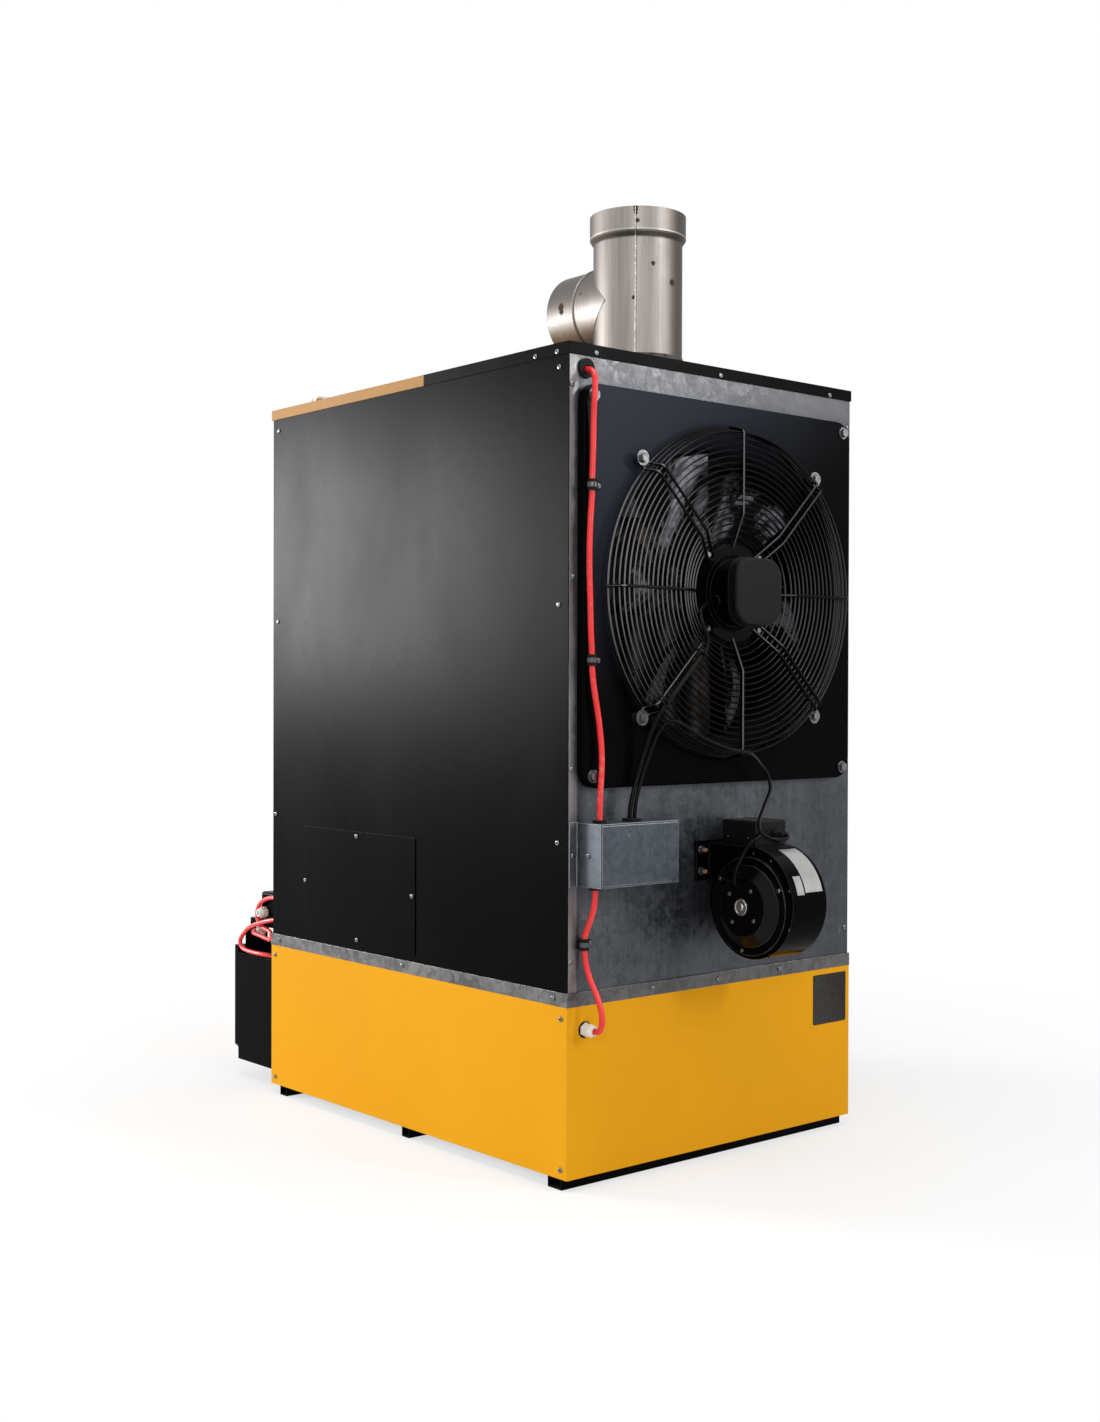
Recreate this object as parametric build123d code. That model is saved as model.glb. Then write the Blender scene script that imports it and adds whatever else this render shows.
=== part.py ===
from build123d import *
import math
import os

os.makedirs("parts", exist_ok=True)

# Waste oil heater: a casing on a fuel tank base, fan and combustion blower on the rear face,
# warm air outlet on the front face, flue tee on the roof.
# Millimetres. X is across the heater, +Y points to its rear, +Z is up, the floor is z = 0.

# Driving dimensions of the casing
HALF_WIDTH = 320.0          # outer face of the side panels
HALF_LENGTH = 418.0         # outer face of the front and rear panels
RAIL_HEIGHT = 18.0
BASE_TOP = 276.0
TRIM_TOP = 297.0
FLANGE_BOTTOM = 1248.0      # lower edge of the roof's side flanges
ROOF_TOP = 1266.0
PANEL_SHEET = 1.5
BASE_SHEET = 2.0
ANGLE_LEG = 25.0
ANGLE_SHEET = 2.0
TRIM_PROUD = 2.5

# Foot rails: centre along Y and width of each
FOOT_RAILS = ((-384.0, 22.0), (3.0, 20.0), (388.0, 32.0))
RAIL_WALL = 2.5

# Fuel tank and its filler
TANK_HALF_X = 300.0
TANK_HALF_Y = 380.0
TANK_TOP = 230.0
TANK_WALL = 2.0
NECK_X = -200.0
NECK_Y = -470.0
NECK_R = 30.0
NECK_BORE = 28.0
NECK_BOTTOM = 150.0
NECK_TOP = 262.0
STUB_Z = 180.0
STUB_R = 20.0
CAP_R = 36.0
CAP_BORE = 30.4

# Fan
FAN_Z = 904.0
FAN_PLATE_SIDE = 605.0
FAN_PLATE_CORNER = 30.0
FAN_PLATE_FACE = 433.0
FAN_MOUTH_R = 269.0
FAN_MOUTH_BEND = 39.0
FAN_THROAT_R = 230.0
FAN_THROAT_END = 362.0
PLATE_BOLT = 284.0
GUARD_BOLT = 197.0
BLADE_COUNT = 6
BLADE_TIP_R = 224.0
MOTOR_SCREW_R = 82.0

# Guard wires
GUARD_RING_R = 1.5
GUARD_STRUT_R = 2.2
GUARD_HOOP_R = 2.0
WIRE_CORNER = 1.04          # from a wire's radius to the corners of its eight-sided section
GUARD_FLAT_Y = 471.2        # axis of the struts on the flat part
GUARD_RING_STEP = 3.2       # from a strut's axis to the axis of the ring it carries
GUARD_PAIR = 7.1            # from a diagonal to the axis of each of its two struts
# Bends of a strut, and the hoop that it stands on: radius and y
GUARD_HOOP = (260.5, 440.0)
GUARD_FOOT = (264.0, 440.0)
GUARD_EYE_FOOT = (264.0, 445.0)
GUARD_EYE = (276.0, 445.0)
GUARD_RIM = (255.5, GUARD_FLAT_Y)
GUARD_DIP = (124.0, GUARD_FLAT_Y)
GUARD_HUB = (72.0, 448.6)
# Rings: shares of the wall and of the dip at which they lie, and the flat part's radii and count
GUARD_WALL_RINGS = (0.34, 0.65)
GUARD_DIP_RINGS = (0.12, 0.31, 0.50, 0.69)
GUARD_FLAT_RADII = (253.0, 126.5)
GUARD_FLAT_COUNT = 14
GUARD_EYE_Y = (443.0, 447.0)
GUARD_WASHER_R = 12.2

# Combustion blower: its axis lies along X
BLOWER_Y = 512.5
BLOWER_Z = 418.5
SCROLL_R = 87.6
SCROLL_X0 = -52.0
SCROLL_X1 = 25.0
MOTOR_Y = 514.5
MOTOR_Z = 414.0
DUCT_X = -16.0
DUCT_Z = 479.0
DUCT_HALF_X = 32.0
DUCT_HALF_Z = 25.0

# Combustion chamber, heat exchanger and flue
DRUM_Y = -90.0
DRUM_R = 200.0
DRUM_WALL = 3.0
DRUM_BOTTOM = 330.0
DRUM_TOP = 1120.0
EXCHANGER_Z = (560.0, 1130.0)
SPIGOT_TOP = 1305.0
FLUE_Y = 225.0
FLUE_R = 75.0
FLUE_WALL = 1.0
FLUE_BOTTOM = 1275.0
FLUE_SHOULDER = 1497.0
FLUE_TOP = 1544.0
SOCKET_BORE = 80.0
BRANCH_Z = 1396.3
BRANCH_MOUTH = 75.6
DRAUGHT_PIVOT_Z = 1408.0

# Roof
LID_REAR = 55.5
COVER_FRONT = 56.5
HINGE_Y = 56.0
HINGE_Z = 1270.0
HINGE_X = 210.0
HINGE_HALF = 20.0
HANDLE_X = (160.0, 280.0)
HANDLE_Y = -345.0

# Warm air outlet on the front face
OUTLET_HALF_X = 240.0
OUTLET_Z = 1002.0
OUTLET_HALF_Z = 190.0
OUTLET_WALL = 3.0
OUTLET_FRONT = -450.0
OUTLET_BACK = -372.0
VANE_COUNT = 4
VANE_PITCH = 95.0
VANE_Y = -411.0
VANE_CHORD = 68.0
VANE_THICK = 5.0
VANE_PIN_R = 3.0
VANE_PIN_BORE = 3.05

# Junction box on the rear face
BOX_X = (142.0, 303.0)
BOX_Y1 = 472.0
BOX_Z = (456.0, 551.0)
BOX_SHEET = 1.5

# Control box and pump box on the front face
CONTROL_X = (110.0, 300.0)
CONTROL_Y = -492.0
CONTROL_Z = (299.0, 366.0)
PUMP_X = (100.0, 300.0)
PUMP_Y = (-580.0, -420.0)
PUMP_Z = (34.0, 240.0)
KNOB_X = 278.0
KNOB_Z = 333.0
SWITCH_X = 205.0
RESET_X = 160.0
ROCKER_TILT = 8.0
SUPPLY_BORE = 4.7
SUPPLY_BORE_DEPTH = 15.0

# Clips of the red cable: where the cable passes
CLIPS = ((293.0, 440.0, 1053.0), (292.5, 440.0, 793.0))
PANEL_CLIP = (294.6, 427.0, 369.0)
CLIP_SCREW_X = 280.0
CLIP_BORE = 5.1

# Screws of the casing
HEAD_R = 4.2
HEAD_H = 2.6
SHANK_R = 1.9
SHANK_LENGTH = 8.0
CLEAR_R = 2.1

# Side face screws: (y, z)
SIDE_PANEL_SCREWS = ((396.6, 1230), (396.5, 876), (395, 520), (-398.5, 1227), (-401, 875), (-408, 519))
COVER_SIDE_SCREWS = ((394, 1253), (343, 1253))
TRIM_SIDE_SCREWS = ((-392, 287), (-1, 288), (388, 287))
BASE_SIDE_SCREWS = ((406, 258), (405.5, 32), (-406, 258), (-405.5, 32))
HATCH_SCREWS = ((-139, 495), (-304, 405), (25, 406), (-138, 315))

# Rear face screws: (x, z)
COVER_REAR_SCREWS = ((268, 1254), (1, 1253), (-265, 1252))
REAR_PANEL_SCREWS = ((314, 1203), (311, 917), (314, 631), (315, 343))
REAR_PANEL_SCREWS += ((-314, 1203), (-311, 917), (-314, 631), (-311, 342))
TRIM_END_SCREWS = ((147, 287), (1, 286), (-144, 286.5))
FRONT_PANEL_SCREWS = tuple((sign * 311, z) for sign in (1, -1) for z in (1228, 917, 631, 343))
OUTLET_SCREWS = tuple((x, z) for x in (-249, 0, 249) for z in (803, 1201))

# Cables: diameter and the points of each route
RED_D = 9.0
FAN_CABLE_D = 7.0
BLOWER_CABLE_D = 6.0
CONTROL_CABLE_D = 8.0
HOSE_D = 10.0

RED_UPPER_ROUTE = (
    (287, 396, 1229), (287, 428, 1229), (289.5, 443, 1214), (293.5, 446, 1190), (292, 441.5, 1155),
    (291.5, 440.5, 1105), (293, 440, 1067), (293, 440.2, 1039), (297, 440.5, 1000),
    (298.5, 440, 940), (296, 440, 880), (295, 440.3, 835), (292.5, 440, 807), (292.5, 440.2, 779),
    (289, 440.5, 752), (281.5, 442, 712), (276.5, 443.5, 672), (276, 445, 635),
    (279.5, 445.3, 600), (280.5, 445, 572), (280.9, 445, 536),
)
RED_LOWER_ROUTE = (
    (288, 445, 470), (288.3, 445, 440), (290.5, 440, 412), (294, 430, 388), (294.5, 427, 376),
    (294.8, 427, 362), (293.5, 429, 340), (290.5, 436, 316), (287.5, 445, 299), (287, 454, 282),
    (287, 459, 266), (287.2, 459.4, 253), (287, 453, 240.1), (287, 436, 240.1), (287, 424, 240.3),
)
FAN_CABLE_ROUTE = (
    (53, 460, 888.9), (66, 462, 885.5), (86, 467, 880), (101, 474, 868), (99, 478, 851),
    (89, 480, 833), (90, 480, 816), (107, 479.5, 798), (128, 479.2, 777), (153, 479.4, 752),
    (175, 479.2, 731), (188, 467, 703), (193, 453, 668), (203, 446, 624), (216, 445, 584),
    (220.3, 445.2, 560), (220.5, 445, 536),
)
BLOWER_CABLE_ROUTE = (
    (210.5, 445, 536), (210.4, 445.2, 560), (206, 445.4, 586), (194, 447, 624), (183, 454, 662),
    (177, 466, 692), (164, 477.5, 704), (145, 479.6, 699), (119, 479.4, 685), (82, 479.2, 669),
    (43, 479.4, 658), (10, 479.8, 653.5), (-9, 478.6, 650), (-30, 470, 643), (-54, 459, 631),
    (-76, 457, 612), (-74, 464, 590), (-50, 478, 577), (-15, 500, 560), (15, 519, 545),
    (29, 534, 532), (20, 542, 521), (-6, 546, 517), (-26, 545, 519), (-36, 537, 520),
    (-36.4, 520, 520.2),
)
SHORT_CABLE_ROUTE = (
    (6, 500, 523), (6.2, 514, 523.2), (16, 521, 522), (30, 521, 516), (42, 518, 503), (51, 514, 486),
    (57.5, 511, 469), (58.5, 508.6, 455), (54, 508.2, 447.6), (42, 508.2, 447.4),
)
CONTROL_CABLE_ROUTES = (
    (
        (309, -404, 360), (309, -425, 360.3), (308.4, -446, 359), (307, -468, 354), (306, -488, 345),
        (305, -500, 332), (304.8, -502, 316), (304.8, -491, 303), (305.4, -476, 298),
        (307, -462, 297), (309, -450, 296.2), (310.4, -441, 292.5), (310.8, -437.5, 286.5),
        (310.2, -441.5, 281), (308.5, -454, 280), (305.5, -476, 281), (303, -500, 283),
        (301.5, -522, 284), (294, -535, 285.5), (280, -539, 287.5), (269, -531, 290),
        (266.2, -520, 295), (266, -515, 304),
    ),
    (
        (309, -404, 320), (309.2, -425, 320.2), (312.4, -452, 315), (314, -484, 307), (313, -508, 299.5),
        (310, -527, 293), (308.4, -537, 287), (307.6, -549, 279), (307.4, -559, 270),
        (307.4, -561, 260), (307.4, -552, 252), (307.2, -532, 249), (306.6, -506, 248.4),
        (304.4, -480, 248), (297, -460, 247), (288, -450, 241), (284, -447, 229), (283, -446, 214),
    ),
)
SUCTION_HOSE_ROUTE = (
    (120, -366, 110), (120, -428, 110.4), (122, -448, 110), (134, -462, 111), (152, -468, 112),
    (166, -468.4, 112),
)
DELIVERY_HOSE_ROUTE = (
    (152, -500, 190), (134, -500.4, 190), (116, -500, 191), (86, -500, 192), (66, -497, 200),
    (58, -488, 222), (58, -476, 262), (58, -468, 312), (58, -462, 352), (58.2, -452, 384),
    (58, -432, 396), (58, -404, 400), (57.6, -368, 400), (57, -332, 400.4), (56.6, -278, 400),
)


def block(x0, x1, y0, y1, z0, z1):
    """A box between two corners."""
    centre = Pos((x0 + x1) / 2, (y0 + y1) / 2, (z0 + z1) / 2)
    return centre * Box(x1 - x0, y1 - y0, z1 - z0)


def rod(start, end, radius):
    """A round bar between the centres of its two end faces."""
    a = Vector(*start)
    b = Vector(*end)
    return Plane(origin=(a + b) / 2, z_dir=b - a) * Cylinder(radius, (b - a).length)


def pipe(start, end, outer, inner):
    """A round tube between the centres of its two end faces."""
    return rod(start, end, outer) - rod(start, end, inner)


def placed(shape, at, out):
    """A shape drawn on the XY plane, stood on the point at with its +Z along out."""
    return Plane(origin=at, z_dir=out) * shape


def write(name, *shapes):
    """Writes all solids of a sub-part to its own file."""
    solids = [solid for shape in shapes for solid in shape.solids()]
    export_step(Compound(solids), f"parts/{name}.step")


# Fasteners

def side_sites(pairs, x):
    """Screw sites on both side faces: (point on the outer sheet, outward direction)."""
    right = [((x, y, z), (1, 0, 0)) for y, z in pairs]
    left = [((-x, y, z), (-1, 0, 0)) for y, z in pairs]
    return right + left


def rear_sites(pairs, y):
    return [((x, y, z), (0, 1, 0)) for x, z in pairs]


def front_sites(pairs, y):
    return [((x, -y, z), (0, -1, 0)) for x, z in pairs]


SITES = {
    "side_panel": side_sites(SIDE_PANEL_SCREWS, HALF_WIDTH),
    "cover_side": side_sites(COVER_SIDE_SCREWS, HALF_WIDTH + 2.0),
    "trim_side": side_sites(TRIM_SIDE_SCREWS, HALF_WIDTH + TRIM_PROUD),
    "base_side": side_sites(BASE_SIDE_SCREWS, HALF_WIDTH + BASE_SHEET),
    "hatch": [((HALF_WIDTH + PANEL_SHEET, y, z), (1, 0, 0)) for y, z in HATCH_SCREWS],
    "cover_rear": rear_sites(COVER_REAR_SCREWS, HALF_LENGTH + 2.0),
    "rear_panel": rear_sites(REAR_PANEL_SCREWS, HALF_LENGTH),
    "junction": rear_sites(((311, 502),), HALF_LENGTH + BOX_SHEET),
    "trim_rear": rear_sites(TRIM_END_SCREWS, HALF_LENGTH + TRIM_PROUD),
    "trim_front": front_sites(TRIM_END_SCREWS, HALF_LENGTH + TRIM_PROUD),
    "front_panel": front_sites(FRONT_PANEL_SCREWS, HALF_LENGTH),
    "outlet": front_sites(OUTLET_SCREWS, HALF_LENGTH + BASE_SHEET),
}


def drilled(shape, *groups):
    """The shape with a clearance hole for each screw of the named groups."""
    reach = SHANK_LENGTH + 2.0
    hole = Pos(0, 0, 2.0 - reach / 2) * Cylinder(CLEAR_R, reach + 4.0)
    holes = [placed(hole, at, out) for group in groups for at, out in SITES[group]]
    return shape - holes


def pan_screw():
    """A dome-headed screw whose head rests on z = 0."""
    head = Pos(0, 0, HEAD_H / 2) * Cylinder(HEAD_R, HEAD_H)
    head = fillet(head.faces().sort_by(Axis.Z)[-1].edges(), 1.3)
    shank = Pos(0, 0, -SHANK_LENGTH / 2 + 0.2) * Cylinder(SHANK_R, SHANK_LENGTH + 0.4)
    return head + shank


def casing_screws():
    screw = pan_screw()
    return [placed(screw, at, out) for sites in SITES.values() for at, out in sites]


def hexagon(across, height):
    return extrude(RegularPolygon(across / math.sqrt(3), 6), height)


def hex_bolt(shank_r, shank, across, head):
    """A hexagon bolt whose head rests on z = 0."""
    return hexagon(across, head) + Pos(0, 0, -shank / 2 + 0.2) * Cylinder(shank_r, shank + 0.4)


def washer(outer, bore, thick):
    return Pos(0, 0, thick / 2) * (Cylinder(outer, thick) - Cylinder(bore, thick))


def hex_nut(across, height, bore):
    return hexagon(across, height) - Cylinder(bore, 4 * height)


# Base

def foot_rails():
    rails = []
    for y, width in FOOT_RAILS:
        outer = block(-HALF_WIDTH + 2, HALF_WIDTH - 2, y - width / 2, y + width / 2, 0, RAIL_HEIGHT)
        inner = block(-HALF_WIDTH, HALF_WIDTH, y - width / 2 + RAIL_WALL, y + width / 2 - RAIL_WALL,
                      RAIL_WALL, RAIL_HEIGHT - RAIL_WALL)
        rails.append(outer - inner)
    return rails


def base_floor():
    return block(-HALF_WIDTH, HALF_WIDTH, -HALF_LENGTH, HALF_LENGTH, RAIL_HEIGHT, RAIL_HEIGHT + 2)


def base_end_sheets():
    half = HALF_WIDTH + BASE_SHEET
    rear = block(-half, half, HALF_LENGTH, HALF_LENGTH + BASE_SHEET, RAIL_HEIGHT, BASE_TOP)
    rear = rear - rod((287, 410, 240.1), (287, 430, 240.1), 6.2)
    front = block(-half, half, -HALF_LENGTH - BASE_SHEET, -HALF_LENGTH, RAIL_HEIGHT, BASE_TOP)
    front = front - rod((NECK_X, -430, STUB_Z), (NECK_X, -410, STUB_Z), STUB_R + 0.5)
    front = front - rod((120, -430, 110), (120, -410, 110), 8.0)
    return rear, front


def base_side_sheets():
    right = block(HALF_WIDTH, HALF_WIDTH + BASE_SHEET, -HALF_LENGTH, HALF_LENGTH, RAIL_HEIGHT, BASE_TOP)
    left = mirror(right, about=Plane.YZ)
    return drilled(right, "base_side"), drilled(left, "base_side")


def fuel_tank():
    """A closed steel tank with a hole for the filler stub and one for the suction hose."""
    outer = block(-TANK_HALF_X, TANK_HALF_X, -TANK_HALF_Y, TANK_HALF_Y, RAIL_HEIGHT + 2, TANK_TOP)
    inner = block(-TANK_HALF_X + TANK_WALL, TANK_HALF_X - TANK_WALL, -TANK_HALF_Y + TANK_WALL,
                  TANK_HALF_Y - TANK_WALL, RAIL_HEIGHT + 2 + TANK_WALL, TANK_TOP - TANK_WALL)
    stub_hole = rod((NECK_X, -390, STUB_Z), (NECK_X, -370, STUB_Z), STUB_R + 0.1)
    hose_hole = rod((120, -390, 110), (120, -370, 110), HOSE_D / 2 + 0.6)
    return outer - inner - stub_hole - hose_hole


def filler_neck():
    """An upright neck outside the front of the base, joined to the tank by a level stub."""
    neck = rod((NECK_X, NECK_Y, NECK_BOTTOM), (NECK_X, NECK_Y, NECK_TOP), NECK_R)
    stub = rod((NECK_X, NECK_Y, STUB_Z), (NECK_X, -TANK_HALF_Y + TANK_WALL, STUB_Z), STUB_R)
    neck_bore = rod((NECK_X, NECK_Y, NECK_BOTTOM + 2), (NECK_X, NECK_Y, NECK_TOP + 1), NECK_BORE)
    stub_bore = rod((NECK_X, NECK_Y, STUB_Z), (NECK_X, -370, STUB_Z), STUB_R - 2)
    bead = placed(Torus(NECK_R, 1.6), (NECK_X, NECK_Y, 236), (0, 0, 1))
    return neck + stub + bead - neck_bore - stub_bore


def filler_cap():
    """A slip-on cap that stands on the neck's rim, with a knurled grip."""
    cap = rod((NECK_X, NECK_Y, 243), (NECK_X, NECK_Y, 278), CAP_R)
    cap = fillet(cap.faces().sort_by(Axis.Z)[-1].edges(), 4)
    bore = rod((NECK_X, NECK_Y, 242), (NECK_X, NECK_Y, NECK_TOP + 0.5), CAP_BORE)
    flutes = []
    for k in range(24):
        a = math.radians(15 * k)
        x = NECK_X + (CAP_R + 1.2) * math.cos(a)
        y = NECK_Y + (CAP_R + 1.2) * math.sin(a)
        flutes.append(rod((x, y, 249), (x, y, 268), 2.4))
    return cap - bore - flutes


# Casing

def corner_angle(x_sign, y_sign, half_x, half_y, z0, z1):
    """An upright angle in one corner, legs along both faces."""
    x_leg = block(half_x - ANGLE_SHEET, half_x, half_y - ANGLE_LEG, half_y, z0, z1)
    y_leg = block(half_x - ANGLE_LEG, half_x, half_y - ANGLE_SHEET, half_y, z0, z1)
    angle = x_leg + y_leg
    if x_sign < 0:
        angle = mirror(angle, about=Plane.YZ)
    if y_sign < 0:
        angle = mirror(angle, about=Plane.XZ)
    return angle


def control_cable_holes(radius):
    """Bars along the two red cables that leave the casing beside the control box."""
    return [rod((309, -430, z), (309, -400, z), radius) for z in (360, 320)]


def frame_members():
    """Corner posts, roof rails and the rail under the lid's hinge line."""
    x_in = HALF_WIDTH - PANEL_SHEET
    y_in = HALF_LENGTH - PANEL_SHEET
    rail_low = 1240.0
    rail_top = ROOF_TOP - 2.0
    post_top = rail_top - ANGLE_SHEET
    members = []
    for sx in (1, -1):
        for sy in (1, -1):
            lower = corner_angle(sx, sy, HALF_WIDTH, HALF_LENGTH, RAIL_HEIGHT + 2, BASE_TOP)
            upper = corner_angle(sx, sy, x_in, y_in, BASE_TOP + 4, post_top)
            members.append(drilled(lower, "base_side"))
            upper = upper - control_cable_holes(CONTROL_CABLE_D / 2 + 1)
            members.append(drilled(upper, "side_panel", "rear_panel", "front_panel", "cover_side",
                                   "junction", "trim_side"))
    y_leg = y_in - ANGLE_LEG
    x_leg = x_in - ANGLE_LEG
    side = block(x_leg, x_in, -y_in, y_in, post_top, rail_top)
    side = side + block(x_in - ANGLE_SHEET, x_in, -y_leg, y_leg, rail_low, post_top)
    end = block(-x_leg, x_leg, y_leg, y_in, post_top, rail_top)
    end = end + block(-x_leg, x_leg, y_in - ANGLE_SHEET, y_in, rail_low, post_top)
    members.append(drilled(side, "cover_side"))
    members.append(drilled(mirror(side, about=Plane.YZ), "cover_side"))
    members.append(drilled(end, "cover_rear"))
    members.append(mirror(end, about=Plane.XZ))
    members.append(block(-x_leg, x_leg, HINGE_Y - 14, HINGE_Y + 12, post_top - 4, rail_top))
    return members + chamber_legs()


def chamber_legs():
    """Three legs under the drum and two stands under the heat exchanger."""
    deck = BASE_TOP + 4
    legs = []
    for k in range(3):
        a = math.radians(90 + 120 * k)
        x = 160 * math.cos(a)
        y = DRUM_Y + 160 * math.sin(a)
        legs.append(block(x - 15, x + 15, y - 15, y + 15, deck, DRUM_BOTTOM))
    for x in (-130, 130):
        legs.append(block(x - 10, x + 10, 180, 280, deck, EXCHANGER_Z[0]))
    return legs


def trim_strips():
    """Angle strips around the joint of base and casing."""
    x_out = HALF_WIDTH + TRIM_PROUD
    y_out = HALF_LENGTH + TRIM_PROUD
    side = block(HALF_WIDTH, x_out, -HALF_LENGTH, HALF_LENGTH, BASE_TOP, TRIM_TOP)
    side = side + block(HALF_WIDTH - ANGLE_LEG, HALF_WIDTH, -HALF_LENGTH, HALF_LENGTH,
                        BASE_TOP, BASE_TOP + 2)
    end = block(-x_out, x_out, HALF_LENGTH, y_out, BASE_TOP, TRIM_TOP)
    rear = drilled(end, "trim_rear")
    front = drilled(mirror(end, about=Plane.XZ), "trim_front")
    return drilled(side, "trim_side"), drilled(mirror(side, about=Plane.YZ), "trim_side"), rear, front


def deck_plate():
    x_in = HALF_WIDTH - PANEL_SHEET
    y_in = HALF_LENGTH - PANEL_SHEET
    return block(-x_in, x_in, -y_in, y_in, BASE_TOP + 2, BASE_TOP + 4)


def side_panel(sign):
    panel = block(HALF_WIDTH - PANEL_SHEET, HALF_WIDTH, -HALF_LENGTH, HALF_LENGTH,
                  BASE_TOP + 2, ROOF_TOP - 4)
    if sign > 0:
        y_mid = (HATCH_SCREWS[1][0] + HATCH_SCREWS[2][0]) / 2
        z_mid = 406.0
        panel = panel - block(310, 330, y_mid - 75, y_mid + 75, z_mid - 75, z_mid + 75)
        return drilled(panel, "side_panel", "cover_side", "trim_side", "hatch")
    return drilled(mirror(panel, about=Plane.YZ), "side_panel", "cover_side", "trim_side")


def side_hatch():
    plate = block(HALF_WIDTH, HALF_WIDTH + PANEL_SHEET, -307, 33, 309, 503)
    return drilled(plate, "hatch")


def rear_panel():
    x_in = HALF_WIDTH - PANEL_SHEET
    y0 = HALF_LENGTH - PANEL_SHEET
    panel = block(-x_in, x_in, y0, HALF_LENGTH, BASE_TOP + 4, ROOF_TOP - 4)
    cuts = [rod((0, 400, FAN_Z), (0, 430, FAN_Z), 262)]
    cuts.append(block(DUCT_X - DUCT_HALF_X, DUCT_X + DUCT_HALF_X, 400, 430,
                      DUCT_Z - DUCT_HALF_Z, DUCT_Z + DUCT_HALF_Z))
    cuts.append(rod((287, 400, 1229), (287, 430, 1229), 12))
    for sx in (1, -1):
        for sz in (1, -1):
            cuts.append(rod((sx * PLATE_BOLT, 400, FAN_Z + sz * PLATE_BOLT),
                            (sx * PLATE_BOLT, 430, FAN_Z + sz * PLATE_BOLT), 4.5))
    for x, z in blower_studs():
        cuts.append(rod((x, 400, z), (x, 430, z), 3.2))
    cuts.append(rod((CLIP_SCREW_X, 400, PANEL_CLIP[2]), (CLIP_SCREW_X, 430, PANEL_CLIP[2]), CLEAR_R))
    panel = panel - cuts
    return drilled(panel, "rear_panel", "cover_rear", "junction", "trim_rear")


def front_panel():
    x_in = HALF_WIDTH - PANEL_SHEET
    y1 = -HALF_LENGTH + PANEL_SHEET
    panel = block(-x_in, x_in, -HALF_LENGTH, y1, BASE_TOP + 4, ROOF_TOP - 4)
    opening = block(-OUTLET_HALF_X - 0.5, OUTLET_HALF_X + 0.5, -430, -400,
                    OUTLET_Z - OUTLET_HALF_Z - 0.5, OUTLET_Z + OUTLET_HALF_Z + 0.5)
    holes = [rod((58, -430, 400), (58, -400, 400), 8)] + control_cable_holes(6.5)
    panel = panel - opening - holes
    return drilled(panel, "front_panel", "outlet", "trim_front")


def rear_top_cover():
    """The black roof sheet behind the hinge line, with the flue hole and three flanges."""
    x_out = HALF_WIDTH + 2.0
    y_out = HALF_LENGTH + 2.0
    z0 = ROOF_TOP - 2.0
    plate = block(-x_out, x_out, COVER_FRONT, y_out, z0, ROOF_TOP)
    right = block(HALF_WIDTH + 0.5, x_out, COVER_FRONT, y_out, FLANGE_BOTTOM, z0)
    left = block(-x_out, -HALF_WIDTH - 0.5, COVER_FRONT, y_out, FLANGE_BOTTOM, z0)
    rear = block(-x_out, x_out, HALF_LENGTH + 0.5, y_out, FLANGE_BOTTOM, z0)
    hole = rod((0, FLUE_Y, 1250), (0, FLUE_Y, 1280), 77.1)
    return drilled(plate + right + left + rear - hole, "cover_side", "cover_rear")


def top_lid():
    """The yellow hinged lid in front of the hinge line, with three flanges."""
    x_out = HALF_WIDTH + 2.0
    y_out = -HALF_LENGTH - 3.5
    z0 = ROOF_TOP - 1.5
    plate = block(-x_out, x_out, y_out, LID_REAR, z0, ROOF_TOP)
    right = block(HALF_WIDTH + 0.5, x_out, y_out, LID_REAR, FLANGE_BOTTOM, z0)
    left = block(-x_out, -HALF_WIDTH - 0.5, y_out, LID_REAR, FLANGE_BOTTOM, z0)
    front = block(-x_out, x_out, y_out, y_out + 1.5, FLANGE_BOTTOM, z0)
    return plate + right + left + front


def hinge_knuckle(x, x0, x1, bore):
    barrel = rod((x + x0, HINGE_Y, HINGE_Z), (x + x1, HINGE_Y, HINGE_Z), 3.5)
    return barrel - rod((x + x0 - 1, HINGE_Y, HINGE_Z), (x + x1 + 1, HINGE_Y, HINGE_Z), bore)


def lid_hinges_fixed():
    """The two leaves on the rear cover, each with its two knuckles and its pin."""
    leaves = []
    for x in (HINGE_X, -HINGE_X):
        leaf = block(x - HINGE_HALF, x + HINGE_HALF, HINGE_Y + 4, HINGE_Y + 26, ROOF_TOP, ROOF_TOP + 1.5)
        for x0, x1 in ((-HINGE_HALF, -7.0), (7.0, HINGE_HALF)):
            knuckle = rod((x + x0, HINGE_Y, HINGE_Z), (x + x1, HINGE_Y, HINGE_Z), 3.5)
            tab = block(x + x0, x + x1, HINGE_Y, HINGE_Y + 6, ROOF_TOP + 0.5, ROOF_TOP + 2)
            leaf = leaf + knuckle + tab
        pin = rod((x - HINGE_HALF, HINGE_Y, HINGE_Z), (x + HINGE_HALF, HINGE_Y, HINGE_Z), 2)
        leaves.append(leaf + pin)
    return leaves


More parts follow.
